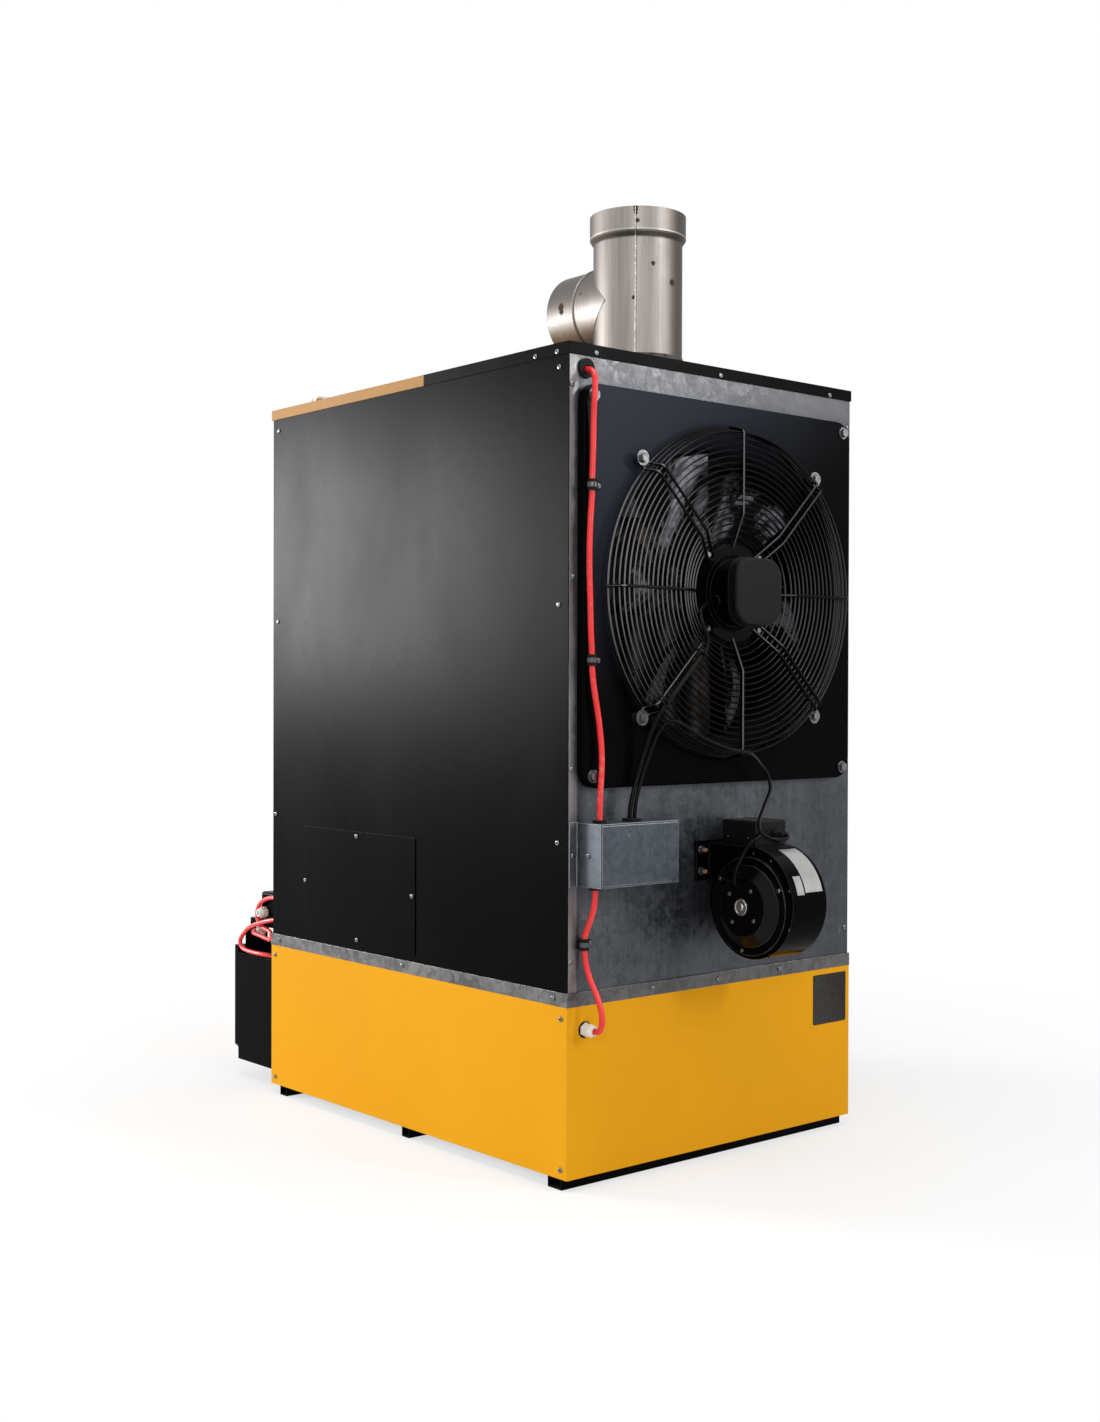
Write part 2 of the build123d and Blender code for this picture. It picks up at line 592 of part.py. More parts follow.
def lid_fittings():
    """The two leaves on the lid and its two bow handles."""
    fittings = []
    for x in (HINGE_X, -HINGE_X):
        leaf = block(x - HINGE_HALF, x + HINGE_HALF, HINGE_Y - 26, HINGE_Y - 4, ROOF_TOP, ROOF_TOP + 1.5)
        knuckle = rod((x - 6.6, HINGE_Y, HINGE_Z), (x + 6.6, HINGE_Y, HINGE_Z), 3.5)
        tab = block(x - 6.6, x + 6.6, HINGE_Y - 6, HINGE_Y, ROOF_TOP + 0.5, ROOF_TOP + 2)
        pin_bore = rod((x - 7, HINGE_Y, HINGE_Z), (x + 7, HINGE_Y, HINGE_Z), 2.05)
        fittings.append(leaf + knuckle + tab - pin_bore)
    for sign in (1, -1):
        x0 = sign * HANDLE_X[0]
        x1 = sign * HANDLE_X[1]
        path = FilletPolyline((x0, HANDLE_Y, ROOF_TOP), (x0, HANDLE_Y, ROOF_TOP + 20),
                              (x1, HANDLE_Y, ROOF_TOP + 20), (x1, HANDLE_Y, ROOF_TOP), radius=10)
        bow = sweep(Plane(origin=path @ 0, z_dir=path % 0) * Circle(4.5), path=path)
        for x in (x0, x1):
            bow = bow + rod((x, HANDLE_Y, ROOF_TOP), (x, HANDLE_Y, ROOF_TOP + 3), 8)
        fittings.append(bow)
    return fittings


def vane_height(k):
    return OUTLET_Z + (k - (VANE_COUNT - 1) / 2) * VANE_PITCH


def outlet_frame():
    """A flanged collar in the front panel's opening, bored for the vane pins."""
    x_out = OUTLET_HALF_X
    z0 = OUTLET_Z - OUTLET_HALF_Z
    z1 = OUTLET_Z + OUTLET_HALF_Z
    collar = block(-x_out, x_out, OUTLET_FRONT, OUTLET_BACK, z0, z1)
    flange = block(-x_out - 18, x_out + 18, -HALF_LENGTH - 2, -HALF_LENGTH, z0 - 18, z1 + 18)
    inner = block(-x_out + OUTLET_WALL, x_out - OUTLET_WALL, OUTLET_FRONT - 1, OUTLET_BACK + 1,
                  z0 + OUTLET_WALL, z1 - OUTLET_WALL)
    bores = [rod((-260, VANE_Y, vane_height(k)), (260, VANE_Y, vane_height(k)), VANE_PIN_BORE)
             for k in range(VANE_COUNT)]
    return drilled(collar + flange - inner - bores, "outlet")


def louvre_vane(k):
    """An aerofoil blade on two pins, open when it lies level."""
    z = vane_height(k)
    half = OUTLET_HALF_X - OUTLET_WALL - 0.7
    section = Plane(origin=(-half, VANE_Y, z), z_dir=(1, 0, 0), x_dir=(0, 1, 0))
    blade = extrude(section * Ellipse(VANE_CHORD / 2, VANE_THICK / 2), 2 * half)
    pins = rod((-OUTLET_HALF_X, VANE_Y, z), (OUTLET_HALF_X, VANE_Y, z), VANE_PIN_R)
    return blade + pins


# Combustion chamber, heat exchanger and flue

def link_holes():
    """Bars along the hot gas link and the air duct, cut out of what they pass through."""
    link = rod((0, DRUM_Y + 150, 1080), (0, 190, 1080), 36.3)
    duct = block(DUCT_X - DUCT_HALF_X - 0.3, DUCT_X + DUCT_HALF_X + 0.3, DRUM_Y + 150, 150,
                 DUCT_Z - DUCT_HALF_Z - 0.3, DUCT_Z + DUCT_HALF_Z + 0.3)
    feed = rod((56.6, -300, 400), (56.6, -250, 400), HOSE_D / 2 + 0.7)
    return [link, duct, feed]


def combustion_chamber():
    """An upright steel drum with a service hole in its top."""
    drum = rod((0, DRUM_Y, DRUM_BOTTOM), (0, DRUM_Y, DRUM_TOP), DRUM_R)
    cavity = rod((0, DRUM_Y, DRUM_BOTTOM + DRUM_WALL), (0, DRUM_Y, DRUM_TOP - DRUM_WALL),
                 DRUM_R - DRUM_WALL)
    service_hole = rod((0, DRUM_Y, DRUM_TOP - 10), (0, DRUM_Y, DRUM_TOP + 10), 70)
    return drum - cavity - service_hole - link_holes()


def chamber_cover():
    """The plate over the service hole, with a wire handle."""
    plate = rod((0, DRUM_Y, DRUM_TOP), (0, DRUM_Y, DRUM_TOP + 8), 95)
    path = FilletPolyline((-40, DRUM_Y, DRUM_TOP + 6), (-40, DRUM_Y, DRUM_TOP + 28),
                          (40, DRUM_Y, DRUM_TOP + 28), (40, DRUM_Y, DRUM_TOP + 6), radius=10)
    handle = sweep(Plane(origin=path @ 0, z_dir=path % 0) * Circle(4), path=path)
    return plate + handle


def burner_pot():
    """The round cast pot on the drum's floor, with a ring of air holes."""
    z0 = DRUM_BOTTOM + DRUM_WALL
    pot = rod((0, DRUM_Y, z0), (0, DRUM_Y, z0 + 60), 110)
    pot = pot - rod((0, DRUM_Y, z0 + 8), (0, DRUM_Y, z0 + 61), 102)
    holes = []
    for k in range(16):
        a = math.radians(22.5 * k)
        holes.append(rod((0, DRUM_Y, z0 + 45),
                         (130 * math.cos(a), DRUM_Y + 130 * math.sin(a), z0 + 45), 5))
    return pot - holes


def heat_exchanger():
    """Two headers joined by upright tubes, the link from the drum and the flue spigot."""
    z0, z1 = EXCHANGER_Z
    lower = block(-150, 150, 160, 300, z0, z0 + 80) - block(-148, 148, 162, 298, z0 + 2, z0 + 78)
    upper = block(-150, 150, 160, 300, z1 - 100, z1) - block(-148, 148, 162, 298, z1 - 98, z1 - 2)
    tubes = []
    bores = []
    for x in (-105, -35, 35, 105):
        for y in (198, 262):
            tubes.append(rod((x, y, z0 + 79), (x, y, z1 - 99), 24))
            bores.append(rod((x, y, z0 + 70), (x, y, z1 - 90), 22.5))
    link_end = DRUM_Y + 192
    link = rod((0, link_end, 1080), (0, 161, 1080), 36)
    link_bore = rod((0, link_end - 1, 1080), (0, 165, 1080), 34)
    spigot = rod((0, FLUE_Y, z1 - 1), (0, FLUE_Y, SPIGOT_TOP), 76.7)
    spigot_bore = rod((0, FLUE_Y, z1 - 10), (0, FLUE_Y, SPIGOT_TOP + 1), 75.2)
    body = lower + upper + tubes
    body = body + [link, spigot]
    return body - bores - [link_bore, spigot_bore]


def air_duct():
    """The square duct that carries the blower's air from the rear panel into the drum."""
    y0 = DRUM_Y + 188
    y1 = HALF_LENGTH - PANEL_SHEET
    outer = block(DUCT_X - DUCT_HALF_X, DUCT_X + DUCT_HALF_X, y0, y1,
                  DUCT_Z - DUCT_HALF_Z, DUCT_Z + DUCT_HALF_Z)
    inner = block(DUCT_X - DUCT_HALF_X + 2, DUCT_X + DUCT_HALF_X - 2, y0 - 1, y1 + 1,
                  DUCT_Z - DUCT_HALF_Z + 2, DUCT_Z + DUCT_HALF_Z - 2)
    return outer - inner


def flue_profile(wall):
    """Half section of the flue tube from its axis out to the wall's outer face, less wall."""
    points = (
        (0, FLUE_BOTTOM), (FLUE_R - wall, FLUE_BOTTOM), (FLUE_R - wall, FLUE_SHOULDER),
        (SOCKET_BORE + 1 - wall, FLUE_SHOULDER + 9), (SOCKET_BORE + 1 - wall, FLUE_TOP), (0, FLUE_TOP),
    )
    on_plane = [(r, FLUE_Y, z) for r, z in points]
    return make_face(Polyline(*on_plane, close=True))


def flue_tee():
    """The upright stainless tube with a socket on top and a branch to the front."""
    axis = Axis((0, FLUE_Y, 0), (0, 0, 1))
    outer = revolve(flue_profile(0), axis)
    inner = revolve(flue_profile(FLUE_WALL), axis)
    branch = rod((0, BRANCH_MOUTH, BRANCH_Z), (0, FLUE_Y, BRANCH_Z), FLUE_R)
    bore = rod((0, BRANCH_MOUTH - 1, BRANCH_Z), (0, FLUE_Y, BRANCH_Z), FLUE_R - FLUE_WALL)
    bead = placed(Torus(FLUE_R, 2.4), (0, 143.4, BRANCH_Z), (0, 1, 0))
    return outer + branch + bead - inner - bore


def draught_ring():
    """The ring in the branch that carries the draught flap's two pins."""
    ring = pipe((0, 80, BRANCH_Z), (0, 100, BRANCH_Z), 73.8, 66)
    return ring - rod((-80, 90, DRAUGHT_PIVOT_Z), (80, 90, DRAUGHT_PIVOT_Z), 2.55)


def draught_flap():
    """The round flap, hung a little above its centre, with a weight on its lower half."""
    disc = rod((0, 89.2, BRANCH_Z), (0, 90.8, BRANCH_Z), 64.5)
    reach = 72.0
    pins = rod((-reach, 90, DRAUGHT_PIVOT_Z), (reach, 90, DRAUGHT_PIVOT_Z), 2.5)
    middle = block(-62, 62, 86, 94, DRAUGHT_PIVOT_Z - 1.2, DRAUGHT_PIVOT_Z + 1.2)
    weight = block(-7, 7, 83, 97, BRANCH_Z - 50, BRANCH_Z - 34)
    return disc + pins + middle + weight


# Fan

def fan_ring_face(radius, wall):
    """Half section of the plate's rolled inlet, in the plane x = radius, y = along the fan."""
    face_y = FAN_PLATE_FACE
    bend = FAN_MOUTH_BEND
    mid_y = face_y - bend
    throat = FAN_THROAT_R
    z = FAN_Z
    s = math.sqrt(0.5)
    outer_mid = (radius - bend * s, mid_y + bend * s, z)
    inner_bend = bend - wall
    inner_mid = (radius - inner_bend * s, mid_y + inner_bend * s, z)
    outer_arc = ThreePointArc((radius, face_y, z), outer_mid, (throat, mid_y, z))
    inner_arc = ThreePointArc((throat + wall, mid_y, z), inner_mid, (radius, face_y - wall, z))
    lines = Polyline((throat, mid_y, z), (throat, FAN_THROAT_END, z),
                     (throat + wall, FAN_THROAT_END, z), (throat + wall, mid_y, z))
    close = Line((radius, face_y - wall, z), (radius, face_y, z))
    return make_face([outer_arc, lines, inner_arc, close])


def fan_plate():
    """The square pan with its rolled inlet ring."""
    wall = 2.0
    back = HALF_LENGTH
    plane = Plane(origin=(0, back, FAN_Z), z_dir=(0, 1, 0))
    depth = FAN_PLATE_FACE - back
    side = FAN_PLATE_SIDE
    outer = extrude(plane * RectangleRounded(side, side, FAN_PLATE_CORNER), depth)
    outer = fillet(outer.faces().sort_by(Axis.Y)[-1].edges(), 3)
    inner_plane = Plane(origin=(0, back - 1, FAN_Z), z_dir=(0, 1, 0))
    inner = extrude(inner_plane * RectangleRounded(side - 2 * wall, side - 2 * wall,
                                                   FAN_PLATE_CORNER - wall), depth - wall + 1)
    pan = outer - inner - rod((0, back - 5, FAN_Z), (0, FAN_PLATE_FACE + 5, FAN_Z), FAN_MOUTH_R)
    mouth = revolve(fan_ring_face(FAN_MOUTH_R, wall), Axis((0, 0, FAN_Z), (0, 1, 0)))
    holes = []
    for sx in (1, -1):
        for sz in (1, -1):
            for reach in (PLATE_BOLT, GUARD_BOLT):
                at = (sx * reach, back, FAN_Z + sz * reach)
                holes.append(rod(at, (at[0], FAN_PLATE_FACE + 5, at[2]), 4.3))
    return pan + mouth - holes


def guard_point(radius, angle, side, y):
    """A point at a radius and a sideways offset from the ray at an angle."""
    c = math.cos(angle)
    s = math.sin(angle)
    return (radius * c - side * s, y, FAN_Z + radius * s + side * c)


def guard_strut(angle, side, foot):
    """One bent wire from its foot over the guard's rim to the hub ring."""
    bends = foot + [GUARD_RIM, GUARD_DIP, GUARD_HUB]
    points = [guard_point(r, angle, side, y) for r, y in bends]
    path = FilletPolyline(*points, radius=6)
    return sweep(Plane(origin=path @ 0, z_dir=path % 0) * Circle(GUARD_STRUT_R), path=path)


def rings_under(start, end, shares):
    """Radius and y of rings behind a strut's straight run, at the given shares of it."""
    dr = end[0] - start[0]
    dy = end[1] - start[1]
    step = GUARD_RING_STEP / math.hypot(dr, dy)
    return [(start[0] + t * dr - step * dy, start[1] + t * dy + step * dr) for t in shares]


def guard_rings():
    first, last = GUARD_FLAT_RADII
    pitch = (first - last) / (GUARD_FLAT_COUNT - 1)
    rings = rings_under(GUARD_FOOT, GUARD_RIM, GUARD_WALL_RINGS)
    rings += [(first - k * pitch, GUARD_FLAT_Y - GUARD_RING_STEP) for k in range(GUARD_FLAT_COUNT)]
    rings += rings_under(GUARD_DIP, GUARD_HUB, GUARD_DIP_RINGS)
    return rings


def guard_ring(radius, y, wire):
    """A ring of eight-sided wire round the fan's axis."""
    section = Pos(radius, y, 0) * RegularPolygon(WIRE_CORNER * wire, 8)
    return Pos(0, 0, FAN_Z) * revolve(section, Axis.Y)


def fan_guard():
    """The welded wire guard: one hoop, concentric rings, four single and four double struts."""
    struts = []
    cuts = []
    tabs = []
    eye_back, eye_front = GUARD_EYE_Y
    for k in range(4):
        struts.append(guard_strut(math.radians(90 * k), 0, [GUARD_FOOT]))
        diagonal = math.radians(90 * k + 45)
        struts.append(guard_strut(diagonal, GUARD_PAIR, [GUARD_EYE, GUARD_EYE_FOOT]))
        struts.append(guard_strut(diagonal, -GUARD_PAIR, [GUARD_EYE, GUARD_EYE_FOOT]))
        reach = GUARD_BOLT * math.sqrt(2)
        x, _, z = guard_point(reach, diagonal, 0, 0)
        tabs.append(rod((x, eye_back, z), (x, eye_front, z), GUARD_PAIR + GUARD_STRUT_R))
        cuts.append(rod((x, 430, z), (x, eye_back, z), 8.3))
        cuts.append(rod((x, 440, z), (x, 450, z), 4.5))
        cuts.append(rod((x, eye_front, z), (x, 465, z), GUARD_WASHER_R + 0.3))
        sx, _, sz = guard_point(MOTOR_SCREW_R, diagonal, 0, 0)
        tabs.append(rod((sx, 446, sz), (sx, 448.5, sz), 8.5))
        cuts.append(rod((sx, 440, sz), (sx, 452, sz), 2.6))
        cuts.append(rod((sx, 448.5, sz), (sx, 453, sz), 5.2))
    wires = [guard_ring(*GUARD_HOOP, GUARD_HOOP_R)]
    wires += [guard_ring(radius, y, GUARD_RING_R) for radius, y in guard_rings()]
    hub_ring = pipe((0, 446, FAN_Z), (0, 448.5, FAN_Z), 78, 62.5)
    guard = hub_ring.fuse(*struts, *tabs, *wires)
    return guard - cuts


def fan_motor():
    """The fixed half of the fan motor: mounting disc, body, cable boss and bearing bore."""
    body = rod((0, 446, FAN_Z), (0, 488, FAN_Z), 53)
    disc = rod((0, 441, FAN_Z), (0, 446, FAN_Z), 88)
    step = rod((0, 446, FAN_Z), (0, 450, FAN_Z), 62)
    a = math.radians(-15.8)
    boss = rod((40 * math.cos(a), 460, FAN_Z + 40 * math.sin(a)),
               (54 * math.cos(a), 460, FAN_Z + 54 * math.sin(a)), 9)
    holes = [rod((0, 440, FAN_Z), (0, 470, FAN_Z), 8.05)]
    holes.append(rod((44 * math.cos(a), 460, FAN_Z + 44 * math.sin(a)),
                     (60 * math.cos(a), 460, FAN_Z + 60 * math.sin(a)), FAN_CABLE_D / 2 + 0.6))
    for k in range(4):
        x, _, z = guard_point(MOTOR_SCREW_R, math.radians(90 * k + 45), 0, 0)
        holes.append(rod((x, 440, z), (x, 452, z), 2.6))
    return body + disc + step + boss - holes


def fan_motor_cap():
    """The rounded square terminal cap on the motor's outer end."""
    rim = Plane(origin=(0, 488, FAN_Z), z_dir=(0, 1, 0)) * RectangleRounded(108, 108, 33)
    lid = Plane(origin=(0, 490, FAN_Z), z_dir=(0, 1, 0)) * RectangleRounded(105, 105, 32)
    raised = extrude(lid, 16)
    raised = fillet(raised.faces().sort_by(Axis.Y)[-1].edges(), 4)
    return extrude(rim, 2) + raised


def fan_blade(angle):
    """A wide twisted blade, swept forward, trimmed to the tip circle."""
    sections = []
    for radius, chord, pitch, lead in ((60, 78, 48, 0), (110, 98, 38, 4), (170, 124, 29, 18), (236, 150, 23, 44)):
        p = math.radians(pitch)
        chord_dir = (0, math.sin(p), math.cos(p))
        plane = Plane(origin=(radius, 382, lead), z_dir=(1, 0, 0), x_dir=chord_dir)
        sections.append(plane * Rectangle(chord, 3))
    blade = loft(sections, ruled=True)
    trim = rod((0, 340, 0), (0, 420, 0), BLADE_TIP_R)
    return Pos(0, 0, FAN_Z) * Rot(0, angle, 0) * (blade & trim)


def fan_impeller():
    """The rotating half of the motor with its blades and shaft."""
    rotor = rod((0, 372, FAN_Z), (0, 437, FAN_Z), 68)
    rotor = fillet(rotor.faces().sort_by(Axis.Y)[0].edges(), 6)
    shaft = rod((0, 430, FAN_Z), (0, 468, FAN_Z), 8)
    blades = [fan_blade(360 / BLADE_COUNT * k) for k in range(BLADE_COUNT)]
    return rotor.fuse(shaft, *blades)


def rear_bolts():
    """Bolts, nuts, washers and spacers of the fan plate, the guard, the motor and the blower."""
    out = (0, 1, 0)
    pieces = []
    m8 = hex_bolt(4, 26, 13, 5.5)
    m8_short = hex_bolt(4, 22, 13, 5.5)
    plate_washer = washer(10, 4.2, 1.6)
    guard_washer = washer(GUARD_WASHER_R, 4.2, 1.6)
    nut = hex_nut(13, 6.5, 4.05)
    eye_back, eye_front = GUARD_EYE_Y
    spacer = washer(8, 4.2, eye_back - FAN_PLATE_FACE)
    inner_spacer = washer(8, 4.6, FAN_PLATE_FACE - 2 - HALF_LENGTH)
    motor_screw = hex_bolt(2.5, 7, 8, 3.5)
    for k in range(4):
        diagonal = math.radians(90 * k + 45)
        x, _, z = guard_point(PLATE_BOLT * math.sqrt(2), diagonal, 0, 0)
        pieces.append(placed(plate_washer, (x, FAN_PLATE_FACE, z), out))
        pieces.append(placed(m8, (x, FAN_PLATE_FACE + 1.6, z), out))
        pieces.append(placed(nut, (x, HALF_LENGTH - PANEL_SHEET - 6.5, z), out))
        pieces.append(placed(inner_spacer, (x, HALF_LENGTH, z), out))
        x, _, z = guard_point(GUARD_BOLT * math.sqrt(2), diagonal, 0, 0)
        pieces.append(placed(spacer, (x, FAN_PLATE_FACE, z), out))
        pieces.append(placed(guard_washer, (x, eye_front, z), out))
        pieces.append(placed(m8_short, (x, eye_front + 1.6, z), out))
        pieces.append(placed(nut, (x, FAN_PLATE_FACE - 8.5, z), out))
        x, _, z = guard_point(MOTOR_SCREW_R, diagonal, 0, 0)
        pieces.append(placed(motor_screw, (x, 448.5, z), out))
    stud_nut = hex_nut(10, 5, 3.05)
    stud_washer = washer(7, 3.2, 1.2)
    for x, z in blower_studs():
        pieces.append(rod((x, 410, z), (x, 436, z), 3))
        pieces.append(placed(stud_washer, (x, 422, z), out))
        pieces.append(placed(stud_nut, (x, 423.2, z), out))
    return pieces


# Combustion blower

def blower_studs():
    return [(DUCT_X + sx * 59, z) for sx in (1, -1) for z in (462, 496)]


def blower_scroll():
    """The scroll housing with its outlet neck, the flange on the rear panel and the air intake."""
    drum = rod((SCROLL_X0, BLOWER_Y, BLOWER_Z), (SCROLL_X1, BLOWER_Y, BLOWER_Z), SCROLL_R)
    neck_top = BLOWER_Z + SCROLL_R
    neck = block(SCROLL_X0, SCROLL_X1, 420, BLOWER_Y, neck_top - 53, neck_top)
    flange = block(DUCT_X - 70, DUCT_X + 70, HALF_LENGTH, HALF_LENGTH + 4, 447, 511)
    cavity = rod((SCROLL_X0 + 2, BLOWER_Y, BLOWER_Z), (SCROLL_X1 - 2, BLOWER_Y, BLOWER_Z), SCROLL_R - 2)
    throat = block(SCROLL_X0 + 2, SCROLL_X1 - 2, 400, BLOWER_Y, neck_top - 51, neck_top - 2)
    intake = rod((SCROLL_X0 - 5, MOTOR_Y, MOTOR_Z), (SCROLL_X0 + 5, MOTOR_Y, MOTOR_Z), 42)
    grille = []
    for r in (10, 21, 32):
        grille.append(placed(Torus(r, 1.2), (SCROLL_X0 + 1.2, MOTOR_Y, MOTOR_Z), (1, 0, 0)))
    for k in range(2):
        a = math.radians(45 + 90 * k)
        dy = 43 * math.cos(a)
        dz = 43 * math.sin(a)
        grille.append(rod((SCROLL_X0 + 1.2, MOTOR_Y - dy, MOTOR_Z - dz),
                          (SCROLL_X0 + 1.2, MOTOR_Y + dy, MOTOR_Z + dz), 1.2))
    shaft_hole = rod((SCROLL_X1 - 5, MOTOR_Y, MOTOR_Z), (SCROLL_X1 + 5, MOTOR_Y, MOTOR_Z), 9)
    studs = [rod((x, 410, z), (x, 430, z), 3.2) for x, z in blower_studs()]
    shell = drum + neck + flange - cavity - throat
    return shell - [intake, shaft_hole] - studs + grille


def blower_motor_cover():
    """The motor housing on the scroll's outer side: a round plate, a cone and a flat face."""
    steps = (
        (0, SCROLL_X1), (77, SCROLL_X1), (77, 32.2), (76.2, 33), (63.5, 33), (63.5, 35.4),
        (46.6, 46.7), (45.8, 47), (13, 47), (13, 50), (0, 50),
    )
    points = [(x, MOTOR_Y + r, MOTOR_Z) for r, x in steps]
    face = make_face(Polyline(*points, close=True))
    cover = revolve(face, Axis((0, MOTOR_Y, MOTOR_Z), (1, 0, 0)))
    cover = cover - rod((SCROLL_X1 - 1, MOTOR_Y, MOTOR_Z), (38, MOTOR_Y, MOTOR_Z), 5.05)
    cover = cover - rod((38.5, 508.2, 447.4), (52, 508.2, 447.4), BLOWER_CABLE_D / 2 + 1.6)
    return cover


def blower_impeller():
    """The cage wheel in the scroll, on its shaft."""
    disc = rod((10, MOTOR_Y, MOTOR_Z), (12, MOTOR_Y, MOTOR_Z), 68)
    ring = pipe((-40, MOTOR_Y, MOTOR_Z), (-37, MOTOR_Y, MOTOR_Z), 68, 54)
    shaft = rod((4, MOTOR_Y, MOTOR_Z), (36, MOTOR_Y, MOTOR_Z), 5)
    blades = []
    for k in range(24):
        blade = block(-38, 11, 55, 67, -0.8, 0.8)
        blades.append(Pos(0, MOTOR_Y, MOTOR_Z) * Rot(15 * k, 0, 0) * blade)
    return disc.fuse(ring, shaft, *blades)


def blower_terminal_box():
    """The terminal box on top of the scroll's neck, with chamfered upper edges."""
    z0 = BLOWER_Z + SCROLL_R + 0.1
    box = block(-56, 14, 441, 511, z0, 545)
    box = chamfer(box.edges().group_by(Axis.Z)[-1], 2.5)
    cavity = block(-54, 12, 443, 509, z0 + 2, 535)
    rear_hole = rod((-36.4, 500, 520.2), (-36.4, 520, 520.2), BLOWER_CABLE_D / 2 + 0.7)
    side_hole = rod((6, 500, 523), (6, 520, 523), BLOWER_CABLE_D / 2 + 0.7)
    return box - cavity - rear_hole - side_hole


# Rear face fittings

def cable_clips():
    """Lined loops around the red cable, each with a tongue that a screw holds."""
    pieces = []
    for x, y, z in CLIPS:
        loop = rod((x, y, z - 6), (x, y, z + 6), CLIP_BORE + 1.8)
        tongue = block(x - 20, x, FAN_PLATE_FACE, FAN_PLATE_FACE + 2.2, z - 5, z + 5)
        bore = rod((x, y, z - 8), (x, y, z + 8), CLIP_BORE)
        pieces.append(loop + tongue - bore)
    x, y, z = PANEL_CLIP
    loop = rod((x, y, z - 6), (x, y, z + 6), CLIP_BORE + 1.8)
    tongue = block(x - 20, x, HALF_LENGTH, HALF_LENGTH + 2.2, z - 5, z + 5)
    web = block(x - 2, x + 2, HALF_LENGTH, y, z - 5, z + 5)
    bore = rod((x, y, z - 8), (x, y, z + 8), CLIP_BORE)
    screw_hole = rod((CLIP_SCREW_X, 410, z), (CLIP_SCREW_X, 430, z), CLEAR_R)
    pieces.append(loop + tongue + web - bore - screw_hole)
    pieces.append(placed(pan_screw(), (CLIP_SCREW_X, HALF_LENGTH + 2.2, z), (0, 1, 0)))
    return pieces


def junction_holes():
    """Cable holes in the junction box: (x, z of the wall, cable radius)."""
    return ((280.7, BOX_Z[1], RED_D / 2), (215.5, BOX_Z[1], 8.6), (288, BOX_Z[0], RED_D / 2))


def junction_box():
    """The folded sheet box over the cable joints, with one fixing flange."""
    x0, x1 = BOX_X
    z0, z1 = BOX_Z
    t = BOX_SHEET
    outer = block(x0, x1, HALF_LENGTH, BOX_Y1, z0, z1)
    inner = block(x0 + t, x1 - t, HALF_LENGTH + t, BOX_Y1 - t, z0 + t, z1 - t)
    flange = block(x1 - t, 318, HALF_LENGTH, HALF_LENGTH + t, z0 - 1, z1 + 1)
    holes = []
    for x, z, radius in junction_holes():
        holes.append(rod((x, 445, z - 4), (x, 445, z + 4), radius + 3))
    side_screw = rod((x1 - 4, 445, 503), (x1 + 4, 445, 503), CLEAR_R)
    return drilled(outer - inner + flange - holes - side_screw, "junction")


def grommet(x, y, z, cable_r, bores):
    """A rubber ring in a level sheet, thicker outside the hole."""
    body = rod((x, y, z - 2.5), (x, y, z + 2.5), cable_r + 2.9)
    lip = rod((x, y, z + 0.8), (x, y, z + 5), cable_r + 6)
    lower_lip = rod((x, y, z - 5), (x, y, z - 0.8), cable_r + 6)
    ring = body + lip + lower_lip
    return ring - [rod((bx, y, z - 9), (bx, y, z + 9), br) for bx, br in bores]


def panel_grommet(at, out, body_r, lip_r, bore):
    """A rubber ring in an upright sheet, with its lip outside."""
    ring = Pos(0, 0, 1) * Cylinder(body_r, 2 + 2 * PANEL_SHEET) + Pos(0, 0, 2) * Cylinder(lip_r, 4)
    ring = ring - Pos(0, 0, -5) * Cylinder(2 * lip_r, 10 - 2 * PANEL_SHEET) - Cylinder(bore, 20)
    return placed(ring, at, out)


def cable_grommets():
    """Black rubber and plastic inlets: rear panel, junction box, fan motor and blower."""
    t = BOX_SHEET
    pieces = []
    red_bore = RED_D / 2 + 0.6
    control_bore = CONTROL_CABLE_D / 2 + 0.6
    pieces.append(panel_grommet((287, HALF_LENGTH, 1229), (0, 1, 0), 11.9, 15, red_bore))
    for z in (360, 320):
        pieces.append(panel_grommet((309, -HALF_LENGTH, z), (0, -1, 0), 6.4, 8.5, control_bore))
    z_top = BOX_Z[1] - t / 2
    z_low = BOX_Z[0] + t / 2
    pieces.append(grommet(280.7, 445, z_top, RED_D / 2, ((280.7, red_bore),)))
    pieces.append(grommet(288, 445, z_low, RED_D / 2, ((288, red_bore),)))
    pair = ((220.4, FAN_CABLE_D / 2 + 0.6), (210.5, BLOWER_CABLE_D / 2 + 0.6))
    pieces.append(grommet(215.5, 445, z_top, 8.6, pair))
    gland_r = BLOWER_CABLE_D / 2 + 0.7
    gland = pipe((-36.4, 511, 520.2), (-36.4, 528, 520.2), 8, gland_r)
    gland = gland + (placed(hexagon(19, 6), (-36.4, 511, 520.2), (0, 1, 0))
                     - rod((-36.4, 510, 520.2), (-36.4, 520, 520.2), gland_r))
    pieces.append(gland)
    return pieces


def white_gland(at, out, length):
    """A plastic gland: hexagon foot, ribbed nut and dome."""
    dome = 7.0
    nut = length - dome
    gland = hexagon(19, 5.5) + Pos(0, 0, nut / 2) * Cylinder(9.6, nut)
    gland = gland + Pos(0, 0, nut + dome / 2) * Cone(9.6, 6.8, dome)
    return placed(gland, at, out)


